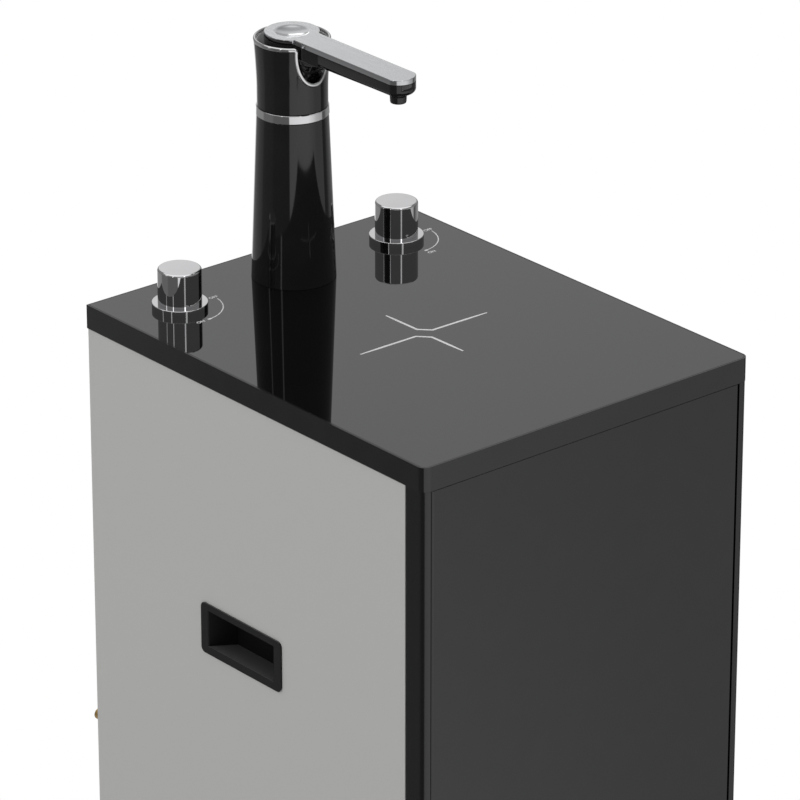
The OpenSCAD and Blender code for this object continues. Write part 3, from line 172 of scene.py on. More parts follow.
def add_node(tree, kind, inputs):
    """A new node of a tree, with its inputs set to values or linked to other nodes' outputs."""
    node = tree.nodes.new(kind)
    for name, value in inputs.items():
        if isinstance(value, bpy.types.NodeSocket):
            tree.links.new(value, node.inputs[name])
        else:
            node.inputs[name].default_value = value
    return node


def joined(tree, operation, *values):
    """One or two values put through a sum of arithmetic."""
    both = tree.nodes.new("ShaderNodeMath")
    both.operation = operation
    for value, socket in zip(values, both.inputs):
        tree.links.new(value, socket)
    return both.outputs["Value"]


def ramped(tree, value, start, end, top, foot=0.0):
    """A value that climbs from a foot to a top between a start and an end."""
    climb = add_node(
        tree,
        "ShaderNodeMapRange",
        {"From Min": start, "From Max": end, "To Min": foot, "To Max": top, "Value": value},
    )
    return climb.outputs["Result"]


def compass(tree, where):
    """The direction of a place round the upright axis, 0 to 1 for a whole turn, and its height."""
    parts = add_node(tree, "ShaderNodeSeparateXYZ", {"Vector": where})
    bearing = joined(tree, "ARCTAN2", parts.outputs["Y"], parts.outputs["X"])
    share = ramped(tree, bearing, start=-math.pi, end=math.pi, top=1.0)
    return share, parts.outputs["Z"]


def graded(tree, value, stops, span=1.0, start=0.0):
    """A level along a value from 0 to 1, by stops of (mark, level) whose marks run over a span."""
    ramp = add_node(tree, "ShaderNodeValToRGB", {"Fac": value})
    bar = ramp.color_ramp
    bar.elements[0].position = 0.0
    bar.elements[1].position = 1.0
    bar.elements[0].color = (*[stops[0][1]] * 3, 1.0)
    bar.elements[1].color = (*[stops[-1][1]] * 3, 1.0)
    for mark, level in stops[1:-1]:
        element = bar.elements.new((mark - start) / span)
        element.color = (level, level, level, 1.0)
    return ramp.outputs["Color"]


def mixed(tree, share, first, second):
    """Two shaders mixed by a share."""
    mix = add_node(tree, "ShaderNodeMixShader", {"Fac": share, 1: first, 2: second})
    return mix.outputs["Shader"]


def grain(tree, where, scale, detail=3.0, stretch=(1.0, 1.0, 1.0)):
    """A noise in object space, drawn out along an axis by stretch."""
    mapping = add_node(tree, "ShaderNodeMapping", {"Scale": stretch, "Vector": where})
    drawn_out = mapping.outputs["Vector"]
    noise = add_node(tree, "ShaderNodeTexNoise", {"Scale": scale, "Detail": detail, "Vector": drawn_out})
    return noise.outputs[0]


def tinted(tree, shader, height, base, spread):
    """The base colour, a little darker and lighter along a pattern."""
    ramp = add_node(tree, "ShaderNodeValToRGB", {"Fac": height})
    dark, light = ramp.color_ramp.elements
    dark.position = GRAIN_LOW
    light.position = GRAIN_HIGH
    dark.color = (*[c * (1.0 - spread) for c in base], 1.0)
    light.color = (*[min(c * (1.0 + spread), 1.0) for c in base], 1.0)
    tree.links.new(ramp.outputs["Color"], shader.inputs["Base Color"])


def glossed(tree, shader, height, low, high):
    """The roughness, between two values along a pattern."""
    rough = ramped(tree, height, GRAIN_LOW, GRAIN_HIGH, top=high, foot=low)
    tree.links.new(rough, shader.inputs["Roughness"])


def embossed(tree, shader, height, depth):
    """A relief of a given depth along a pattern."""
    bump = add_node(tree, "ShaderNodeBump", {"Distance": depth, "Height": height})
    tree.links.new(bump.outputs["Normal"], shader.inputs["Normal"])


def let_light_in(material, weight, radius):
    """Gives a material a skin that light enters for a short way."""
    shader = material.node_tree.nodes["Principled BSDF"]
    shader.inputs["Subsurface Weight"].default_value = weight
    shader.inputs["Subsurface Radius"].default_value = (radius, radius, radius)
    return material


def plain_finish(name, base, rough, scale, relief, spread, **shader_values):
    """A finish with one fine grain for its colour, its roughness from and to, and its relief."""
    material, tree, shader, where = shaded(name, **shader_values)
    height = grain(tree, where, scale)
    tinted(tree, shader, height, base, spread)
    glossed(tree, shader, height, *rough)
    embossed(tree, shader, height, relief)
    return material


def polished_black():
    """Polished black plastic with the slow waves of a moulded sheet."""
    return plain_finish(
        "polished_black", colours().black_gloss, rough=(0.05, 0.08), scale=45.0, relief=0.000012, spread=0.15
    )


def satin_black():
    """Moulded black plastic with a fine spark texture."""
    return plain_finish(
        "satin_black", colours().black_satin, rough=(0.16, 0.24), scale=1400.0, relief=0.000008, spread=0.15
    )


def grained_black():
    """Dull moulded plastic, with painted light on faces that look up, painted shade in the pocket and a
    lighter black on the flange.
    """
    material, tree, shader, where = shaded("grained_black")
    shader.inputs["Specular IOR Level"].default_value = 0.1
    height = grain(tree, where, scale=1600.0)
    glossed(tree, shader, height, low=0.42, high=0.52)
    embossed(tree, shader, height, depth=0.00002)
    # Painted light: faces that look up, such as the pocket's floor, turn pale grey
    surface = tree.nodes.new("ShaderNodeNewGeometry")
    facing = add_node(tree, "ShaderNodeSeparateXYZ", {"Vector": surface.outputs["Normal"]})
    painted_light_up = ramped(tree, facing.outputs["Z"], start=0.6, end=0.95, top=0.9)
    # The flange keeps a lighter black, while the pocket takes a darker one as painted shade
    spot = add_node(tree, "ShaderNodeSeparateXYZ", {"Vector": where})
    outward = joined(tree, "ABSOLUTE", spot.outputs["X"])
    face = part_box("right_grip")[1].x
    flange_back = 0.0012
    flange_front = 0.0008
    flange_share = ramped(tree, outward, start=face - flange_back, end=face - flange_front, top=0.45)
    flange_or_floor_light = joined(tree, "MAXIMUM", painted_light_up, flange_share)
    speckled = ramped(tree, height, start=GRAIN_LOW, end=GRAIN_HIGH, top=0.1)
    light_and_speckle = joined(tree, "ADD", flange_or_floor_light, speckled)
    # From the pocket's painted shade, through the flange's black, to the floor's painted light
    ramp = add_node(tree, "ShaderNodeValToRGB", {"Fac": light_and_speckle})
    bar = ramp.color_ramp
    bar.elements[0].color = (*colours().black_grip, 1.0)
    bar.elements[1].color = (*colours().grip_dust, 1.0)
    middle = bar.elements.new(0.5)
    middle.color = (*colours().grip_flange, 1.0)
    tree.links.new(ramp.outputs["Color"], shader.inputs["Base Color"])
    return material


def glass_black():
    """Glass with a black backing, wiped clean."""
    return plain_finish(
        "glass_black", colours().black_glass, rough=(0.0, 0.025), scale=18.0, relief=0.000001, spread=0.1
    )


def panel_paint():
    """Even satin paint with a fine orange peel."""
    return plain_finish(
        "panel_paint", colours().panel_grey, rough=(0.42, 0.5), scale=700.0, relief=0.00001, spread=0.012
    )


def back_sheet():
    """Matte powder paint on the back sheet."""
    return plain_finish(
        "back_sheet", colours().back_grey, rough=(0.55, 0.7), scale=1800.0, relief=0.00003, spread=0.12
    )


def soft_rubber():
    """Black rubber with a dusty bloom."""
    return plain_finish(
        "soft_rubber", colours().rubber, rough=(0.6, 0.8), scale=900.0, relief=0.00003, spread=0.25
    )


def bright_chrome():
    """Polished chrome plate with faint haze."""
    return plain_finish(
        "bright_chrome",
        colours().chrome,
        rough=(0.02, 0.045),
        scale=60.0,
        relief=0.000001,
        spread=0.02,
        metallic=1.0,
    )


def satin_cover():
    """Satin metal with fine brushing along the arm."""
    material, tree, shader, where = shaded("satin_cover", metallic=1.0)
    height = grain(tree, where, scale=700.0, detail=2.0, stretch=(1.0, 0.03, 1.0))
    tinted(tree, shader, height, colours().satin_metal, spread=0.03)
    glossed(tree, shader, height, low=0.1, high=0.16)
    embossed(tree, shader, height, depth=0.0000012)
    return material


def brushed_lining():
    """Dull grey lining inside the head's rim."""
    return plain_finish(
        "brushed_lining", colours().lining_grey, rough=(0.38, 0.5), scale=400.0, relief=0.000004, spread=0.06
    )


def plain_steel():
    """Zinc plated steel, slightly cloudy."""
    return plain_finish(
        "plain_steel",
        colours().steel,
        rough=(0.22, 0.36),
        scale=350.0,
        relief=0.000004,
        spread=0.12,
        metallic=1.0,
    )


def turned_brass():
    """Brass with fine lathe lines across its length and a little tarnish."""
    material, tree, shader, where = shaded("turned_brass", metallic=1.0)
    lines = grain(tree, where, scale=500.0, detail=2.0, stretch=(0.15, 1.0, 1.0))
    cloud = grain(tree, where, scale=90.0)
    tinted(tree, shader, cloud, colours().brass, spread=0.16)
    glossed(tree, shader, lines, low=0.16, high=0.3)
    embossed(tree, shader, lines, depth=0.000006)
    return material


def white_moulding():
    """White polypropylene with a soft satin skin."""
    material = plain_finish(
        "white_moulding", colours().white, rough=(0.3, 0.4), scale=500.0, relief=0.000008, spread=0.02
    )
    return let_light_in(material, weight=0.15, radius=0.004)


def blue_moulding():
    """Blue polypropylene with a soft satin skin."""
    return plain_finish(
        "blue_moulding", colours().blue, rough=(0.28, 0.38), scale=500.0, relief=0.000008, spread=0.08
    )


def milky_tube():
    """Milky polyethylene tube with a soft skin."""
    material = plain_finish(
        "milky_tube", colours().tube_milk, rough=(0.22, 0.32), scale=260.0, relief=0.000006, spread=0.02
    )
    return let_light_in(material, weight=0.3, radius=0.003)


def tank_enamel():
    """White stoving enamel with a gentle orange peel."""
    return plain_finish(
        "tank_enamel",
        colours().tank_white,
        rough=(0.12, 0.2),
        scale=220.0,
        relief=0.00003,
        spread=0.012,
        coat=0.4,
    )


def bracket_powder():
    """Light grey powder paint."""
    return plain_finish(
        "bracket_powder",
        colours().bracket_grey,
        rough=(0.42, 0.55),
        scale=1500.0,
        relief=0.00002,
        spread=0.03,
    )


def motor_enamel():
    """Grey motor paint over a rolled steel shell."""
    return plain_finish(
        "motor_enamel", colours().motor_grey, rough=(0.28, 0.4), scale=300.0, relief=0.00002, spread=0.06
    )


def dull_magnet():
    """Dull dark ceramic magnet."""
    return plain_finish(
        "dull_magnet", colours().magnet_grey, rough=(0.5, 0.7), scale=1200.0, relief=0.00004, spread=0.25
    )


def printed_grey():
    """Light grey screen print, slightly broken."""
    return plain_finish(
        "printed_grey", colours().print_grey, rough=(0.45, 0.6), scale=2500.0, relief=0.000004, spread=0.08
    )


FINISH_OF = {
    "black_gloss": polished_black,
    "black_plastic": satin_black,
    "black_glass": glass_black,
    "grey_panel": panel_paint,
    "back_grey": back_sheet,
    "rubber": soft_rubber,
    "chrome": bright_chrome,
    "satin_steel": satin_cover,
    "steel": plain_steel,
    "brass": turned_brass,
    "white_plastic": white_moulding,
    "blue_plastic": blue_moulding,
    "tube_plastic": milky_tube,
    "tank_paint": tank_enamel,
    "bracket_paint": bracket_powder,
    "motor_paint": motor_enamel,
    "magnet": dull_magnet,
}


def finish(make):
    """The material that a finish function makes, made once."""
    found = bpy.data.materials.get(make.__name__)
    return found or make()


def paint_node(*names):
    """CAD nodes whose shape is right keep it and get their finish."""
    for name in names:
        node = frame["nodes"][name]
        material = finish(FINISH_OF[SLOT_OF[name]])
        node.data.materials.clear()
        node.data.materials.append(material)


# Room


# How bright polished faces see the walls by direction in degrees and by height as a sine,
# then the ceiling by height and the floor by direction
ROOM_SIDES = (
    (-180.0, 0.36),
    (0.0, 0.36),
    (30.0, 0.45),
    (44.0, 0.82),
    (54.0, 1.0),
    (64.0, 1.0),
    (70.0, 0.36),
    (180.0, 0.36),
)
ROOM_HEIGHTS = (
    (0.0, 0.6),
    (0.2, 0.6),
    (0.28, 1.0),
    (0.44, 1.0),
    (0.53, 0.68),
    (0.66, 0.68),
    (0.72, 1.0),
    (1.0, 1.0),
)
ROOM_CEILING = ((0.0, 0.0), (0.7, 0.0), (0.73, 1.4), (1.0, 1.4))
FLOOR_SIDES = (
    (-180.0, 0.15),
    (-142.0, 0.15),
    (-139.0, 1.05),
    (-110.0, 1.15),
    (-80.0, 1.15),
    (-60.0, 0.88),
    (-50.0, 0.68),
    (-24.0, 0.5),
    (-22.0, 0.13),
    (-10.0, 0.13),
    (0.0, 0.3),
    (42.0, 0.4),
    (50.0, 1.2),
    (72.0, 1.2),
    (80.0, 0.36),
    (126.0, 0.34),
    (132.0, 0.2),
    (164.0, 0.2),
    (170.0, 0.15),
    (180.0, 0.15),
)


def floor_paint():
    """A pale floor with the shadow near the object, white far off, and light and dark in mirrors."""
    material, tree, shader, where = shaded("floor_paint")
    shader.inputs["Base Color"].default_value = (0.84, 0.84, 0.84, 1.0)
    shader.inputs["Roughness"].default_value = 0.7
    shader.inputs["Specular IOR Level"].default_value = 0.1
    path = tree.nodes.new("ShaderNodeLightPath")
    # White towards the distance
    reach = add_node(tree, "ShaderNodeVectorMath", {0: where})
    reach.operation = "LENGTH"
    span = {"From Min": 0.35, "From Max": 0.9, "Value": reach.outputs["Value"]}
    far = add_node(tree, "ShaderNodeMapRange", span)
    far.interpolation_type = "SMOOTHSTEP"
    seen = joined(tree, "MULTIPLY", far.outputs["Result"], path.outputs["Is Camera Ray"])
    white = tree.nodes.new("ShaderNodeEmission")
    near_far = mixed(tree, seen, shader.outputs["BSDF"], white.outputs["Emission"])
    # Light and dark by direction, as polished faces show it
    side = compass(tree, where)[0]
    level = graded(tree, side, FLOOR_SIDES, span=360.0, start=-180.0)
    lit = add_node(tree, "ShaderNodeEmission", {"Strength": level})
    mirrored = mixed(tree, path.outputs["Is Glossy Ray"], near_far, lit.outputs["Emission"])
    tree.links.new(mirrored, tree.nodes["Material Output"].inputs["Surface"])
    return material


# Shaping


def node_mesh(name, whole=True):
    """A merged copy of a CAD node's mesh, with its flat triangles joined to whole faces if asked."""
    bm = bmesh.new()
    bm.from_mesh(frame["nodes"][name].data)
    bmesh.ops.remove_doubles(bm, verts=bm.verts, dist=CAD_WELD)
    if whole:
        flat = math.radians(0.4)
        bmesh.ops.dissolve_limit(bm, angle_limit=flat, verts=bm.verts, edges=bm.edges)
    return bm


def box_edge(node):
    """A test for places that lie along the edges of a node's box."""
    low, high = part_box(node)
    near = NEAR / 2.0

    def along(spot):
        sides = [min(spot[i] - low[i], high[i] - spot[i]) < near for i in range(3)]
        return sum(sides) > 1

    return along


def cut_off(bm, spot, way):
    """Cuts a shape at a place, drops the part that lies that way and closes the cut."""
    every = bm.verts[:] + bm.edges[:] + bm.faces[:]
    bmesh.ops.bisect_plane(bm, geom=every, dist=WELD, plane_co=spot, plane_no=way, clear_outer=True)
    rim = [e for e in bm.edges if e.is_boundary]
    bmesh.ops.triangle_fill(bm, edges=rim, use_beauty=True, normal=way)


def soften(bm, width, keep=None, segments=3):
    """Rounds the sharp edges, or only those whose middle a test keeps."""
    limit = math.radians(35.0)
    sharp = [e for e in bm.edges if len(e.link_faces) == 2 and e.calc_face_angle() > limit]
    if keep:
        sharp = [e for e in sharp if keep((e.verts[0].co + e.verts[1].co) / 2.0)]
    bmesh.ops.bevel(
        bm,
        geom=sharp,
        offset=width,
        offset_type="OFFSET",
        segments=segments,
        profile=0.5,
        affect="EDGES",
        clamp_overlap=False,
        loop_slide=True,
        material=-1,
    )


def close_up(bm):
    """Joins the points that meet and turns the faces outwards."""
    bmesh.ops.remove_doubles(bm, verts=bm.verts, dist=WELD)
    bmesh.ops.recalc_face_normals(bm, faces=bm.faces)


def turn(bm, profile, x, y, steps):
    """Spins an outline of (radius, height) points, in millimetres, round an upright axis at x, y."""
    corners = [bm.verts.new((x + radius * MM, y, height * MM)) for radius, height in profile]
    sides = [bm.edges.new((a, b)) for a, b in zip(corners, corners[1:])]
    if profile[0][0] > 0.0:
        sides.append(bm.edges.new((corners[-1], corners[0])))
    bmesh.ops.spin(
        bm,
        geom=corners + sides,
        cent=(x, y, 0.0),
        axis=(0.0, 0.0, 1.0),
        angle=2.0 * math.pi,
        steps=steps,
        use_merge=True,
    )


def turned(profile, x, y, steps=128):
    """A turned solid, closed and with its faces outwards."""
    bm = bmesh.new()
    turn(bm, profile, x, y, steps)
    close_up(bm)
    return bm


def arc(bm, profile, axis, start, sweep_angle):
    """Spins an open outline of (radius, height) points, in millimetres, from a start angle."""
    begin = math.radians(start)
    across = Vector((math.cos(begin), math.sin(begin), 0.0)) * MM
    base = Vector((axis.x, axis.y, 0.0))
    corners = []
    for radius, height in profile:
        corners.append(bm.verts.new(base + across * radius + Vector((0.0, 0.0, height * MM))))
    sides = [bm.edges.new((a, b)) for a, b in zip(corners, corners[1:])]
    bmesh.ops.spin(
        bm,
        geom=corners + sides,
        cent=base,
        axis=(0.0, 0.0, 1.0),
        angle=math.radians(sweep_angle),
        steps=96,
        use_merge=False,
    )


def sweep(bm, places, outwards, height, width, corner):
    """Draws a bar with round corners along a closed line, one ring of edges after another."""
    frames = []
    for k, spot in enumerate(places):
        along = (places[(k + 1) % len(places)] - places[k - 1]).normalized()
        side = along.cross(outwards[k]).normalized()
        out = side.cross(along)
        frames.append(Matrix.Translation(spot) @ Matrix((out, side, along)).transposed().to_4x4())
    bmesh.ops.create_grid(bm, x_segments=1, y_segments=1, size=0.5)
    bmesh.ops.scale(bm, verts=bm.verts, vec=(height, width, 1.0))
    bmesh.ops.bevel(
        bm,
        geom=bm.verts[:],
        offset=corner,
        offset_type="OFFSET",
        segments=6,
        profile=0.5,
        affect="VERTICES",
        material=-1,
    )
    bmesh.ops.delete(bm, geom=bm.faces[:], context="FACES_ONLY")
    bmesh.ops.transform(bm, matrix=frames[0], verts=bm.verts)
    ring = bm.edges[:]
    for last, following in zip(frames, frames[1:] + frames[:1]):
        drawn = bmesh.ops.extrude_edge_only(bm, edges=ring)["geom"]
        verts = [item for item in drawn if isinstance(item, bmesh.types.BMVert)]
        bmesh.ops.transform(bm, matrix=following @ last.inverted(), verts=verts)
        ring = [item for item in drawn if isinstance(item, bmesh.types.BMEdge)]
    close_up(bm)


def mesh_of(name, bm):
    """A mesh made from a drawn shape, which is let go."""
    mesh = bpy.data.meshes.new(name)
    bm.to_mesh(mesh)
    bm.free()
    return mesh


def place(name, bm, make, nodes, crease=40.0):
    """A finished piece that stands for CAD nodes and moves with their body."""
    mesh = mesh_of(name, bm)
    return place_mesh(name, mesh, make, BODY_OF[nodes[0]], nodes, crease)


def place_mesh(name, mesh, make, body, nodes=(), crease=40.0):
    """A mesh as a piece of the object: shaded, painted and riding on a body."""
    piece = bpy.data.objects.new(name, mesh)
    bpy.context.scene.collection.objects.link(piece)
    mesh.materials.clear()
    mesh.materials.append(finish(make))
    mesh.shade_smooth()
    mesh.set_sharp_from_angle(angle=math.radians(crease))
    shading = piece.modifiers.new("even_shading", "WEIGHTED_NORMAL")
    shading.keep_sharp = True
    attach(piece, body)
    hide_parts(*nodes)
    return piece


def dress(node, name, width, keep=None):
    """Places a copy of a CAD node with its edges rounded, in the node's finish."""
    bm = node_mesh(node)
    soften(bm, width, keep)
    place(name, bm, FINISH_OF[SLOT_OF[node]], [node])


def centre_of(node):
    """The middle of a node's box."""
    low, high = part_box(node)
    return (low + high) / 2.0


def radius_of(node):
    """Half the width of a node's box, in millimetres."""
    low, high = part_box(node)
    return (high.x - low.x) / 2.0 / MM


def round_box(node):
    """The middle of a round node, and its radius, foot and top in millimetres."""
    low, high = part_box(node)
    return centre_of(node), radius_of(node), low.z / MM, high.z / MM


# Operators


class PURIFIER_OT_stage(bpy.types.Operator):
    """Sets the floor, the soft light and the camera"""

    bl_idname = "purifier.stage"
    bl_label = "Stage"

    def execute(self, context):
        scene = context.scene
        scene.view_settings.view_transform = "Standard"
        self.set_camera(scene)
        self.set_world(scene)
        self.set_floor(scene)
        self.set_lamps(scene)
        return {"FINISHED"}

    def set_camera(self, scene):
        """The camera, where the photo was taken from."""
        camera = bpy.data.objects.new("camera", bpy.data.cameras.new("camera"))
        camera.data.lens = 249.405
        camera.data.sensor_width = 36.0
        camera.data.clip_end = 200.0
        camera.location = (-2.49411, -2.97300, 2.53628)
        camera.rotation_euler = (math.radians(66.339), 0.0, math.radians(-40.013))
        scene.collection.objects.link(camera)
        scene.camera = camera

    def set_world(self, scene):
        """A white room, which polished faces see as walls and a ceiling of soft boxes."""
        world = bpy.data.worlds.new("white_room")
        world.use_nodes = True
        scene.world = world
        tree = world.node_tree
        sky = tree.nodes["Background"]
        sky.inputs["Color"].default_value = (1.0, 1.0, 1.0, 1.0)
        path = tree.nodes.new("ShaderNodeLightPath")
        seen = joined(
            tree, "MAXIMUM", path.outputs["Is Camera Ray"], path.outputs["Is Transmission Ray"]
        )
        level = ramped(tree, seen, start=0.0, end=1.0, top=1.0, foot=0.72)
        around = tree.nodes.new("ShaderNodeTexCoord")
        side, height = compass(tree, around.outputs["Generated"])
        by_side = graded(tree, side, ROOM_SIDES, span=360.0, start=-180.0)
        walls = joined(tree, "MULTIPLY", by_side, graded(tree, height, ROOM_HEIGHTS))
        soft_boxes = joined(tree, "MAXIMUM", walls, graded(tree, height, ROOM_CEILING))
        room = add_node(
            tree, "ShaderNodeMix", {0: path.outputs["Is Glossy Ray"], 2: level, 3: soft_boxes}
        )
        tree.links.new(room.outputs[0], sky.inputs["Strength"])

    def set_floor(self, scene):
        """A round floor that reaches far past the picture."""
        bm = bmesh.new()
        bmesh.ops.create_circle(bm, cap_ends=True, segments=96, radius=60.0)
        mesh = mesh_of("floor", bm)
        mesh.materials.append(floor_paint())
        floor = bpy.data.objects.new("floor", mesh)
        scene.collection.objects.link(floor)

    def set_lamps(self, scene):
        """The lamps, all turned to the upper part of the object."""
        # Each lamp: name, place, width, height, watts, whether polished faces and dull ones see it
        lamps = (
            ("front_strip", (-0.90, -3.90, 3.4), 0.55, 1.9, 10.5, True, True),
            ("left_strip", (-3.86, -1.07, 2.6), 0.25, 2.4, 6.0, True, True),
            ("far_left_strip", (-3.71, 1.50, 2.6), 0.22, 2.4, 4.0, True, True),
            ("rear_card", (2.40, 3.33, 1.90), 0.46, 0.60, 1.95, True, False),
            ("overhead", (0.4, 0.2, 3.6), 2.2, 2.2, 22.0, False, True),
            ("left_fill", (-3.4, 0.6, 2.2), 2.4, 2.4, 24.0, False, True),
        )
        aim = Vector((0.0, -0.02, 0.8))
        for name, spot, width, height, power, mirrored, lighting in lamps:
            data = bpy.data.lights.new(name, "AREA")
            data.shape = "RECTANGLE"
            data.size = width
            data.size_y = height
            data.energy = power
            lamp = bpy.data.objects.new(name, data)
            lamp.location = spot
            lamp.rotation_euler = (aim - lamp.location).to_track_quat("-Z", "Y").to_euler()
            lamp.visible_glossy = mirrored
            lamp.visible_diffuse = lighting
            scene.collection.objects.link(lamp)
        # The rear card shines in the dish of the spout's cover alone, and not in the glass
        shone_on = bpy.data.collections.new("shone_on")
        bpy.data.objects["rear_card"].light_linking.receiver_collection = shone_on
        # The front strip draws no line on the column
        left_dark = bpy.data.collections.new("left_dark")
        bpy.data.objects["front_strip"].light_linking.receiver_collection = left_dark


class PURIFIER_OT_cabinet(bpy.types.Operator):
    """Makes the side panels, corner posts, back, plinth and feet"""

    bl_idname = "purifier.cabinet"
    bl_label = "Cabinet"

    def execute(self, context):
        size = sizes()
        for node, name in (("left_panel", "left_side_skin"), ("right_panel", "right_side_skin")):
            dress(node, name, size.panel_edge, box_edge(node))
        dress("left_post", "left_corner_rail", size.post_edge)
        dress("right_post", "right_corner_rail", size.post_edge)
        for node, name in (("back_panel", "back_skin"), ("plinth", "plinth_tray")):
            dress(node, name, size.panel_edge, box_edge(node))
        self.make_feet()
        paint_node("back_screws")
        return {"FINISHED"}

    def make_feet(self):
        """Four turned feet in the corners of their box, each with a groove round it."""
        low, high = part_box("feet")
        foot = 18.0
        bm = bmesh.new()
        outline = (
            (0.0, 0.6),
            (foot - 7.0, 0.6),
            (foot - 6.4, 0.0),
            (foot - 2.4, 0.0),
            (foot - 1.6, 0.8),
            (foot - 1.2, 6.0),
            (foot - 2.2, 6.6),
            (foot - 2.2, 7.6),
            (foot - 1.0, 8.2),
            (foot, 18.6),
            (foot - 0.8, 20.0),
            (0.0, 20.0),
        )
        inset = foot * MM
        for x in (low.x + inset, high.x - inset):
            for y in (low.y + inset, high.y - inset):
                turn(bm, outline, x, y, steps=72)
        close_up(bm)
        place("rubber_feet", bm, soft_rubber, ["feet"])


class PURIFIER_OT_top(bpy.types.Operator):
    """Makes the top cap and its glass"""

    bl_idname = "purifier.top"
    bl_label = "Top"

    def execute(self, context):
        dress("top_cap", "cap_shell", sizes().cap_edge)
        dress("top_glass", "glass_plate", sizes().glass_edge)
        return {"FINISHED"}


class PURIFIER_OT_marks(bpy.types.Operator):
    """Prints the cup mark and the two tap dials on the glass"""

    bl_idname = "purifier.marks"
    bl_label = "Printed marks"

    def execute(self, context):
        low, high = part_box("top_glass")
        self.level = high.z
        middle = (low + high) / 2.0
        self.print_cup_mark(middle.x, middle.y)
        for side in ("left", "right"):
            self.print_dial(side)
        return {"FINISHED"}

    def line_mesh(self, name, points, width, taper=1.0):
        """A flat printed line through points on the glass."""
        curve = bpy.data.curves.new(name, "CURVE")
        curve.dimensions = "3D"
        curve.bevel_depth = width / 2.0
        curve.bevel_resolution = 2
        curve.use_fill_caps = True
        spline = curve.splines.new("POLY")
        spline.points.add(len(points) - 1)
        for spot, (x, y) in zip(spline.points, points):
            spot.co = (x, y, 0.0, 1.0)
        spline.points[0].radius = taper
        spline.points[-1].radius = taper
        mesh = self.to_mesh(name, curve)
        flatness = 0.08
        mesh.transform(Matrix.Diagonal((1.0, 1.0, flatness, 1.0)))
        return mesh

    def letters_mesh(self, name, words, size):
        """Flat printed letters with their lower left corner at the origin."""
        text = bpy.data.curves.new(name, "FONT")
        text.body = words
        text.size = size
        text.extrude = 0.00004
        text.offset = 0.00012
        return self.to_mesh(name, text)

    def to_mesh(self, name, data):
        """The mesh of a curve or of letters."""
        holder = bpy.data.objects.new(name, data)
        bpy.context.scene.collection.objects.link(holder)
        graph = bpy.context.evaluated_depsgraph_get()
        mesh = bpy.data.meshes.new_from_object(holder.evaluated_get(graph))
        bpy.data.objects.remove(holder)
        return mesh

    def lay(self, name, meshes):
        """Joins printed meshes on the glass to one piece."""
        bm = bmesh.new()
        for mesh in meshes:
            bm.from_mesh(mesh)
            bpy.data.meshes.remove(mesh)
        bmesh.ops.translate(bm, verts=bm.verts, vec=(0.0, 0.0, self.level))
        bmesh.ops.remove_doubles(bm, verts=bm.verts, dist=WELD)
        place_mesh(name, mesh_of(name, bm), printed_grey, "cabinet")

    def print_cup_mark(self, x, y):
        """Two bent lines round a place, by points in millimetres from it."""
        upper = ((2.0, 36.0), (2.25, 21.0), (2.6, 0.0), (10.9, -8.3), (44.0, -8.7), (64.7, -9.0))
        lower = ((-61.0, -9.4), (-40.0, -9.5), (-6.8, -9.7), (1.6, -18.5), (2.05, -39.0), (2.4, -54.0))
        width = sizes().line_width
        meshes = []
        for name, line in (("upper_line", upper), ("lower_line", lower)):
            points = [(x + a * MM, y + b * MM) for a, b in line]
            meshes.append(self.line_mesh(name, points, width, taper=0.55))
        self.lay("cup_mark", meshes)

    def print_dial(self, side):
        """The arc beside a tap, its dot and the two words."""
        middle = centre_of(side + "_collar")
        radius = sizes().dial_radius
        start, end, steps = -8.0, -84.0, 24
        turns = [math.radians(start + (end - start) * k / steps) for k in range(steps + 1)]
        line = [(middle.x + radius * math.cos(a), middle.y + radius * math.sin(a)) for a in turns]
        meshes = [self.line_mesh(side + "_arc", line, sizes().dial_width)]
        dot_x, dot_y = middle.x + 0.0029, middle.y - radius + 0.0002
        half = 0.0016
        dot = [(dot_x - half, dot_y), (dot_x + half, dot_y)]
        meshes.append(self.line_mesh(side + "_dot", dot, sizes().dot_width))
        # Each word's lower left corner, from the tap's axis and from the arc's lowest point
        off_place = (radius - 0.0055, -0.0025)
        on_place = {"left": (-0.0095, -radius - 0.0016), "right": (0.0005, -radius - 0.0066)}[side]
        for word, (x, y) in (("OFF", off_place), ("ON", on_place)):
            letters = self.letters_mesh(side + "_" + word.lower(), word, sizes().letter_size)
            letters.transform(Matrix.Translation((middle.x + x, middle.y + y, 0.0)))
            meshes.append(letters)
        self.lay(side + "_dial", meshes)


class PURIFIER_OT_door(bpy.types.Operator):
    """Makes the front door with its pins, striker and magnet"""

    bl_idname = "purifier.door"
    bl_label = "Door"

    def execute(self, context):
        self.make_leaf()
        paint_node("hinge_pins", "door_striker", "door_magnet")
        return {"FINISHED"}

    def make_leaf(self):
        """The door, grown by a hair towards the cap and the hinge post, so that its seams are fine."""
        low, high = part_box("front_door")
        pin = centre_of("hinge_pins")
        grow = 0.0003
        knuckle = 0.005
        bm = node_mesh("front_door")
        for vert in bm.verts:
            reach = Vector((vert.co.x - pin.x, vert.co.y - pin.y, 0.0))
            if vert.co.x < pin.x and reach.length < knuckle:
                vert.co += reach.normalized() * grow
            elif vert.co.x < low.x + NEAR:
                vert.co.x -= grow
            if vert.co.z > high.z - NEAR:
                vert.co.z += grow
        soften(bm, sizes().door_edge)
        place("door_leaf", bm, polished_black, ["front_door"])


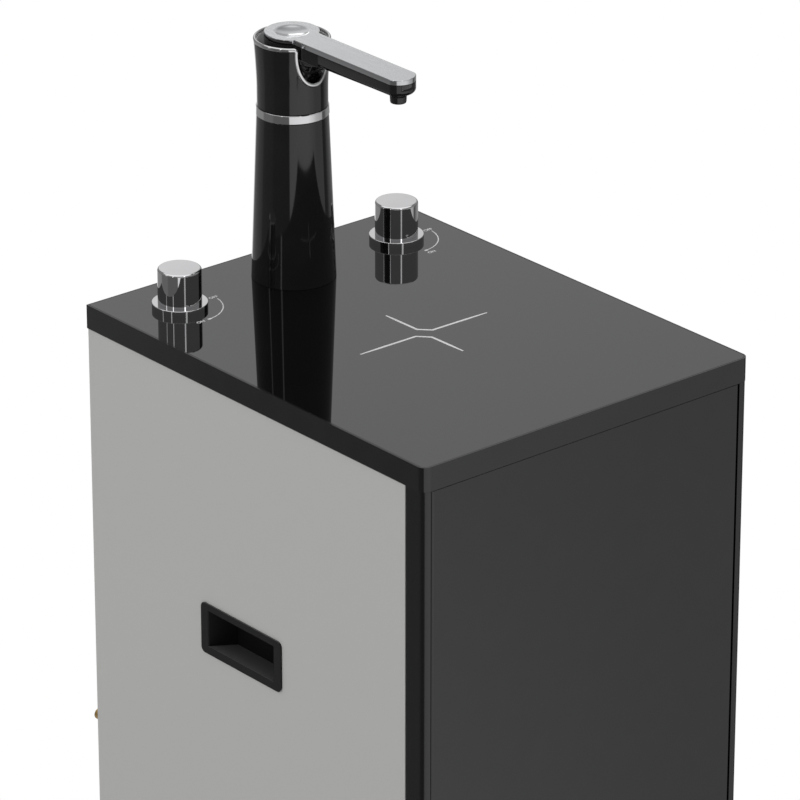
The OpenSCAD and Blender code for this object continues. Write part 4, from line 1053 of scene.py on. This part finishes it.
class PURIFIER_OT_grips(bpy.types.Operator):
    """Makes the two hand grips let into the side panels"""

    bl_idname = "purifier.grips"
    bl_label = "Hand grips"

    def execute(self, context):
        for side in ("left", "right"):
            self.make_grip(side)
        return {"FINISHED"}

    def make_grip(self, side):
        """A grip with its outer edges rounded and its flange drawn down a little at the foot."""
        node = side + "_grip"
        low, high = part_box(node)
        face = {"left": low.x, "right": high.x}[side]
        flange_foot = low.z + 0.004
        flange_depth = 0.0015
        bm = node_mesh(node, whole=False)
        for vert in bm.verts:
            if vert.co.z < flange_foot and abs(vert.co.x - face) < flange_depth:
                vert.co.z -= sizes().grip_drop
        soften(bm, sizes().grip_edge, lambda spot: abs(spot.x - face) < NEAR)
        place(side + "_hand_grip", bm, grained_black, [node], crease=20.0)


class PURIFIER_OT_column(bpy.types.Operator):
    """Makes the faucet's column and its swivel ring"""

    bl_idname = "purifier.column"
    bl_label = "Column"

    def execute(self, context):
        middle, outer, foot, top = round_box("faucet_column")
        rim = radius_of("swivel_ring") - 0.3
        lip = radius_of("faucet_gasket") + 0.2
        skirt = foot - 0.8
        floor = foot + 9.0
        bore = 22.0
        shank = 11.0
        outline = (
            (outer, skirt),
            (rim, top),
            (bore, top),
            (bore, floor),
            (shank, floor),
            (shank, foot),
            (lip, foot),
            (lip, skirt),
        )
        bm = turned(outline, middle.x, middle.y, steps=160)
        upper = (top - 5.0) * MM
        soften(bm, sizes().column_edge, lambda spot: spot.z > upper)
        column = place("column_shell", bm, polished_black, ["faucet_column"])
        left_dark = bpy.data.collections["left_dark"]
        left_dark.objects.link(column)
        left_dark.collection_objects[0].light_linking.link_state = "EXCLUDE"
        self.make_ring()
        paint_node("faucet_gasket", "swivel_bush", "faucet_shank", "faucet_washer", "faucet_locknut")
        return {"FINISHED"}

    def make_ring(self):
        """The chrome ring, which carries on the column's taper."""
        middle, outer, foot, top = round_box("swivel_ring")
        taper = 0.15
        bore = 13.0
        outline = ((outer + taper, foot), (outer - taper, top), (bore, top), (bore, foot))
        bm = turned(outline, middle.x, middle.y, steps=160)
        soften(bm, sizes().column_edge)
        place("ring_band", bm, bright_chrome, ["swivel_ring"])


class PURIFIER_OT_head(bpy.types.Operator):
    """Makes the swivelling head, its chrome trim and the lining of its rim"""

    bl_idname = "purifier.head"
    bl_label = "Head"

    def execute(self, context):
        self.axis = centre_of("swivel_ring")
        low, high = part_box("head_trim")
        self.rim = high.z / MM
        self.notch_foot = low.z / MM
        self.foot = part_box("faucet_head")[0].z / MM
        dress("faucet_head", "head_shell", sizes().head_edge)
        self.make_trim()
        self.make_lining()
        paint_node("head_spindle", "spindle_clip", "spindle_seals")
        return {"FINISHED"}

    def radius_at(self, height):
        """The head's outer radius at a height: straight at its foot, then flaring."""
        waist, flare, straight, curve = 27.5, 2.2, 15.0, 1.4
        share = (height - self.foot - straight) / (self.rim - self.foot - straight)
        return waist + flare * max(share, 0.0) ** curve

    def trim_line(self):
        """Half the trim's middle line: angle from the front, height, depth under the head's surface."""
        half = sizes().trim_width / MM / 2.0
        notch_half, overlap, gap = 17.6, 0.3, 0.2
        across = notch_half - half
        top = self.rim - half + overlap
        deep = top - self.notch_foot - half + gap
        corner, bulge = 2.0, 0.91
        notch_sunk, rim_sunk = 0.6, 1.0
        notch_steps, corner_steps, rim_steps = 41, 8, 72
        points = []
        for k in range(notch_steps):
            angle = math.radians(90.0 * (1.0 - k / notch_steps))
            drop = deep * math.sin(angle) ** bulge
            height = top - drop
            if drop > corner:
                reach = across * math.cos(angle) ** bulge
                points.append((math.asin(reach / self.radius_at(height)), height, notch_sunk))
        radius = self.radius_at(top)
        start = math.asin(across / radius)
        for k in range(corner_steps + 1):
            angle = math.radians(180.0 - 90.0 * k / corner_steps)
            run = corner * (1.0 + math.cos(angle))
            rise = corner * (math.sin(angle) - 1.0)
            sunk = notch_sunk + (rim_sunk - notch_sunk) * k / corner_steps
            points.append((start + run / radius, top + rise, sunk))
        first = start + corner / radius
        for k in range(1, rim_steps + 1):
            points.append((first + (math.pi - first) * k / rim_steps, top, rim_sunk))
        return points

    def make_trim(self):
        """The chrome trim, a round bar along the rim and the notch."""
        half_line = self.trim_line()
        line = half_line + [(-angle, height, sunk) for angle, height, sunk in half_line[-2:0:-1]]
        places = []
        outwards = []
        for angle, height, sunk in line:
            out = Vector((math.sin(angle), -math.cos(angle), 0.0))
            spot = out * (self.radius_at(height) - sunk) * MM
            places.append(Vector((self.axis.x + spot.x, self.axis.y + spot.y, height * MM)))
            outwards.append(out)
        thick = sizes().trim_height
        bm = bmesh.new()
        sweep(bm, places, outwards, thick, sizes().trim_width, corner=thick * 0.49)
        place("trim_band", bm, bright_chrome, ["head_trim"])

    def make_lining(self):
        """The satin lining inside the rim, open at the notch."""
        notch_half, gap = 17.4, 4.0
        open_half = math.degrees(math.asin(notch_half / self.radius_at(self.rim))) + gap
        outline = ((27.1, self.rim - 2.0), (26.2, self.rim - 15.0))
        bm = bmesh.new()
        arc(bm, outline, self.axis, open_half - 90.0, 360.0 - 2.0 * open_half)
        bmesh.ops.solidify(bm, geom=bm.faces[:], thickness=0.0003)
        bmesh.ops.recalc_face_normals(bm, faces=bm.faces)
        place_mesh("rim_lining", mesh_of("rim_lining", bm), brushed_lining, "spout")


class PURIFIER_OT_spout(bpy.types.Operator):
    """Makes the spout's arm, cover and nozzle"""

    bl_idname = "purifier.spout"
    bl_label = "Spout"

    def execute(self, context):
        self.make_arm()
        self.make_cover()
        self.make_hub_band()
        self.make_nozzle()
        return {"FINISHED"}

    def make_arm(self):
        """The hub and root of the arm's solid, and its length drawn anew from the plan of the cover."""
        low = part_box("spout_cover")[0]
        foot = low.z - sizes().arm_depth
        cut = Vector((0.0, low.y + sizes().arm_length, 0.0))
        arm = node_mesh("spout_arm")
        cut_off(arm, cut, Vector((0.0, -1.0, 0.0)))
        tip = node_mesh("spout_cover")
        upper = [f for f in tip.faces if f.calc_center_median().z > low.z + NEAR]
        bmesh.ops.delete(tip, geom=upper, context="FACES")
        drawn = bmesh.ops.extrude_face_region(tip, geom=tip.faces[:])["geom"]
        lowered = [g for g in drawn if isinstance(g, bmesh.types.BMVert)]
        bmesh.ops.translate(tip, verts=lowered, vec=(0.0, 0.0, -sizes().arm_depth))
        bmesh.ops.recalc_face_normals(tip, faces=tip.faces)
        soften(
            tip,
            sizes().arm_edge,
            lambda spot: abs(spot.z - foot) < NEAR and spot.y < cut.y,
            segments=6,
        )
        cut_off(tip, cut, Vector((0.0, 1.0, 0.0)))
        mesh = mesh_of("arm_tip", tip)
        arm.from_mesh(mesh)
        bpy.data.meshes.remove(mesh)
        place("arm_body", arm, FINISH_OF[SLOT_OF["spout_arm"]], ["spout_arm"])

    def make_cover(self):
        """The satin cover, a hair thicker than its solid, with its dish."""
        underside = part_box("spout_cover")[0].z
        grow = 0.0005
        bm = node_mesh("spout_cover")
        upper = [v for v in bm.verts if v.co.z > underside + MM]
        bmesh.ops.translate(bm, verts=upper, vec=(0.0, 0.0, grow))
        soften(bm, sizes().cover_edge)
        cover = place("arm_cover", bm, satin_cover, ["spout_cover"])
        bpy.data.collections["shone_on"].objects.link(cover)

    def make_hub_band(self):
        """The black side of the hub, up to the cover's lip and open where the arm leaves."""
        axis = centre_of("swivel_ring")
        low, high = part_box("spout_cover")
        hub = radius_of("spout_cover")
        inner, outer = hub - 0.1, hub + 0.15
        drop = 0.5
        foot, top = low.z / MM - drop, high.z / MM - drop
        arm_half, gap = 12.5, 3.0
        open_half = math.degrees(math.asin(arm_half / hub)) + gap
        bm = bmesh.new()
        outline = ((inner, foot), (outer, foot), (outer, top), (inner, top))
        arc(bm, outline, axis, open_half - 90.0, 360.0 - 2.0 * open_half)
        bmesh.ops.recalc_face_normals(bm, faces=bm.faces)
        place_mesh("hub_band", mesh_of("hub_band", bm), polished_black, "spout")

    def make_nozzle(self):
        """The turned nozzle, with a rounded mouth and a groove at its root."""
        middle, outer, mouth, root = round_box("spout_nozzle")
        bore = 4.0
        outline = (
            (bore, mouth + 1.2),
            (bore + 0.6, mouth + 0.2),
            (outer - 1.4, mouth),
            (outer - 0.5, mouth + 0.4),
            (outer - 0.2, mouth + 1.4),
            (outer, root - 2.6),
            (outer - 0.6, root - 2.0),
            (outer - 0.6, root),
            (bore, root),
        )
        bm = turned(outline, middle.x, middle.y, steps=96)
        soften(bm, sizes().nozzle_edge)
        place("nozzle_tip", bm, polished_black, ["spout_nozzle"])


class PURIFIER_OT_taps(bpy.types.Operator):
    """Makes the two knobs and their collars"""

    bl_idname = "purifier.taps"
    bl_label = "Taps"

    def execute(self, context):
        for side in ("left", "right"):
            self.make_knob(side)
            self.make_collar(side)
            paint_node(side + "_stem", side + "_valve")
        return {"FINISHED"}

    def make_knob(self, side):
        """A knob a hair wider and lower than its solid, with a socket for the stem."""
        middle, radius, low, top = round_box(side + "_knob")
        outer = radius + 0.3
        foot = low - 0.25
        bore = 4.0
        socket = foot + 18.0
        outline = (
            (0.0, socket),
            (bore, socket),
            (bore, foot),
            (outer, foot),
            (outer, top),
            (0.0, top),
        )
        bm = turned(outline, middle.x, middle.y)
        upper = (top - 5.0) * MM
        soften(bm, sizes().knob_edge, lambda spot: spot.z > upper, segments=5)
        place(side + "_knob_cap", bm, bright_chrome, [side + "_knob"])

    def make_collar(self, side):
        """The ring under a knob, rounded on top."""
        middle, outer, foot, top = round_box(side + "_collar")
        bore = 4.4
        outline = ((bore, foot), (outer, foot), (outer, top), (bore, top))
        bm = turned(outline, middle.x, middle.y)
        upper = (top - 2.0) * MM
        soften(bm, sizes().collar_edge, lambda spot: spot.z > upper)
        place(side + "_collar_ring", bm, bright_chrome, [side + "_collar"])


class PURIFIER_OT_filters(bpy.types.Operator):
    """Finishes the filters and the bracket that carries them"""

    bl_idname = "purifier.filters"
    bl_label = "Filters"

    def execute(self, context):
        paint_node("filter_bracket", "prefilter_heads", "prefilter_bowls", "prefilter_cartridges")
        paint_node("membrane_housing", "membrane_cap", "post_filters", "filter_clips")
        return {"FINISHED"}


class PURIFIER_OT_works(bpy.types.Operator):
    """Finishes the pump, tank, valves, tubes and back fittings"""

    bl_idname = "purifier.works"
    bl_label = "Pump, tank and fittings"

    def execute(self, context):
        paint_node("pump_motor", "pump_head_block", "power_supply", "solenoid_valve", "pressure_switch")
        paint_node("storage_tank", "tank_stand", "tank_valve", "tank_lever", "water_tubes")
        paint_node("inlet_fitting", "drain_fitting", "power_gland")
        return {"FINISHED"}


STEPS = (
    PURIFIER_OT_stage,
    PURIFIER_OT_cabinet,
    PURIFIER_OT_top,
    PURIFIER_OT_marks,
    PURIFIER_OT_door,
    PURIFIER_OT_grips,
    PURIFIER_OT_column,
    PURIFIER_OT_head,
    PURIFIER_OT_spout,
    PURIFIER_OT_taps,
    PURIFIER_OT_filters,
    PURIFIER_OT_works,
)


class PURIFIER_PT_sidebar(bpy.types.Panel):
    """Lists the sizes, the colours and the steps"""

    bl_idname = "PURIFIER_PT_sidebar"
    bl_label = "Water purifier"
    bl_space_type = "VIEW_3D"
    bl_region_type = "UI"
    bl_category = "Purifier"

    def draw(self, context):
        layout = self.layout
        for group in (sizes(), colours()):
            for name in group.__annotations__:
                layout.prop(group, name)
        for step in STEPS:
            layout.operator(step.bl_idname)


CLASSES = (PurifierSizes, PurifierColours) + STEPS + (PURIFIER_PT_sidebar,)


def register():
    """Adds the classes and their properties to Blender."""
    for cls in CLASSES:
        bpy.utils.register_class(cls)
    bpy.types.Scene.purifier_sizes = PointerProperty(type=PurifierSizes)
    bpy.types.Scene.purifier_colours = PointerProperty(type=PurifierColours)


def unregister():
    """Takes the classes and their properties out of Blender."""
    del bpy.types.Scene.purifier_colours
    del bpy.types.Scene.purifier_sizes
    for cls in reversed(CLASSES):
        bpy.utils.unregister_class(cls)


def main():
    register()
    for step in STEPS:
        group, name = step.bl_idname.split(".")
        getattr(getattr(bpy.ops, group), name)()


if __name__ == "__main__":
    main()
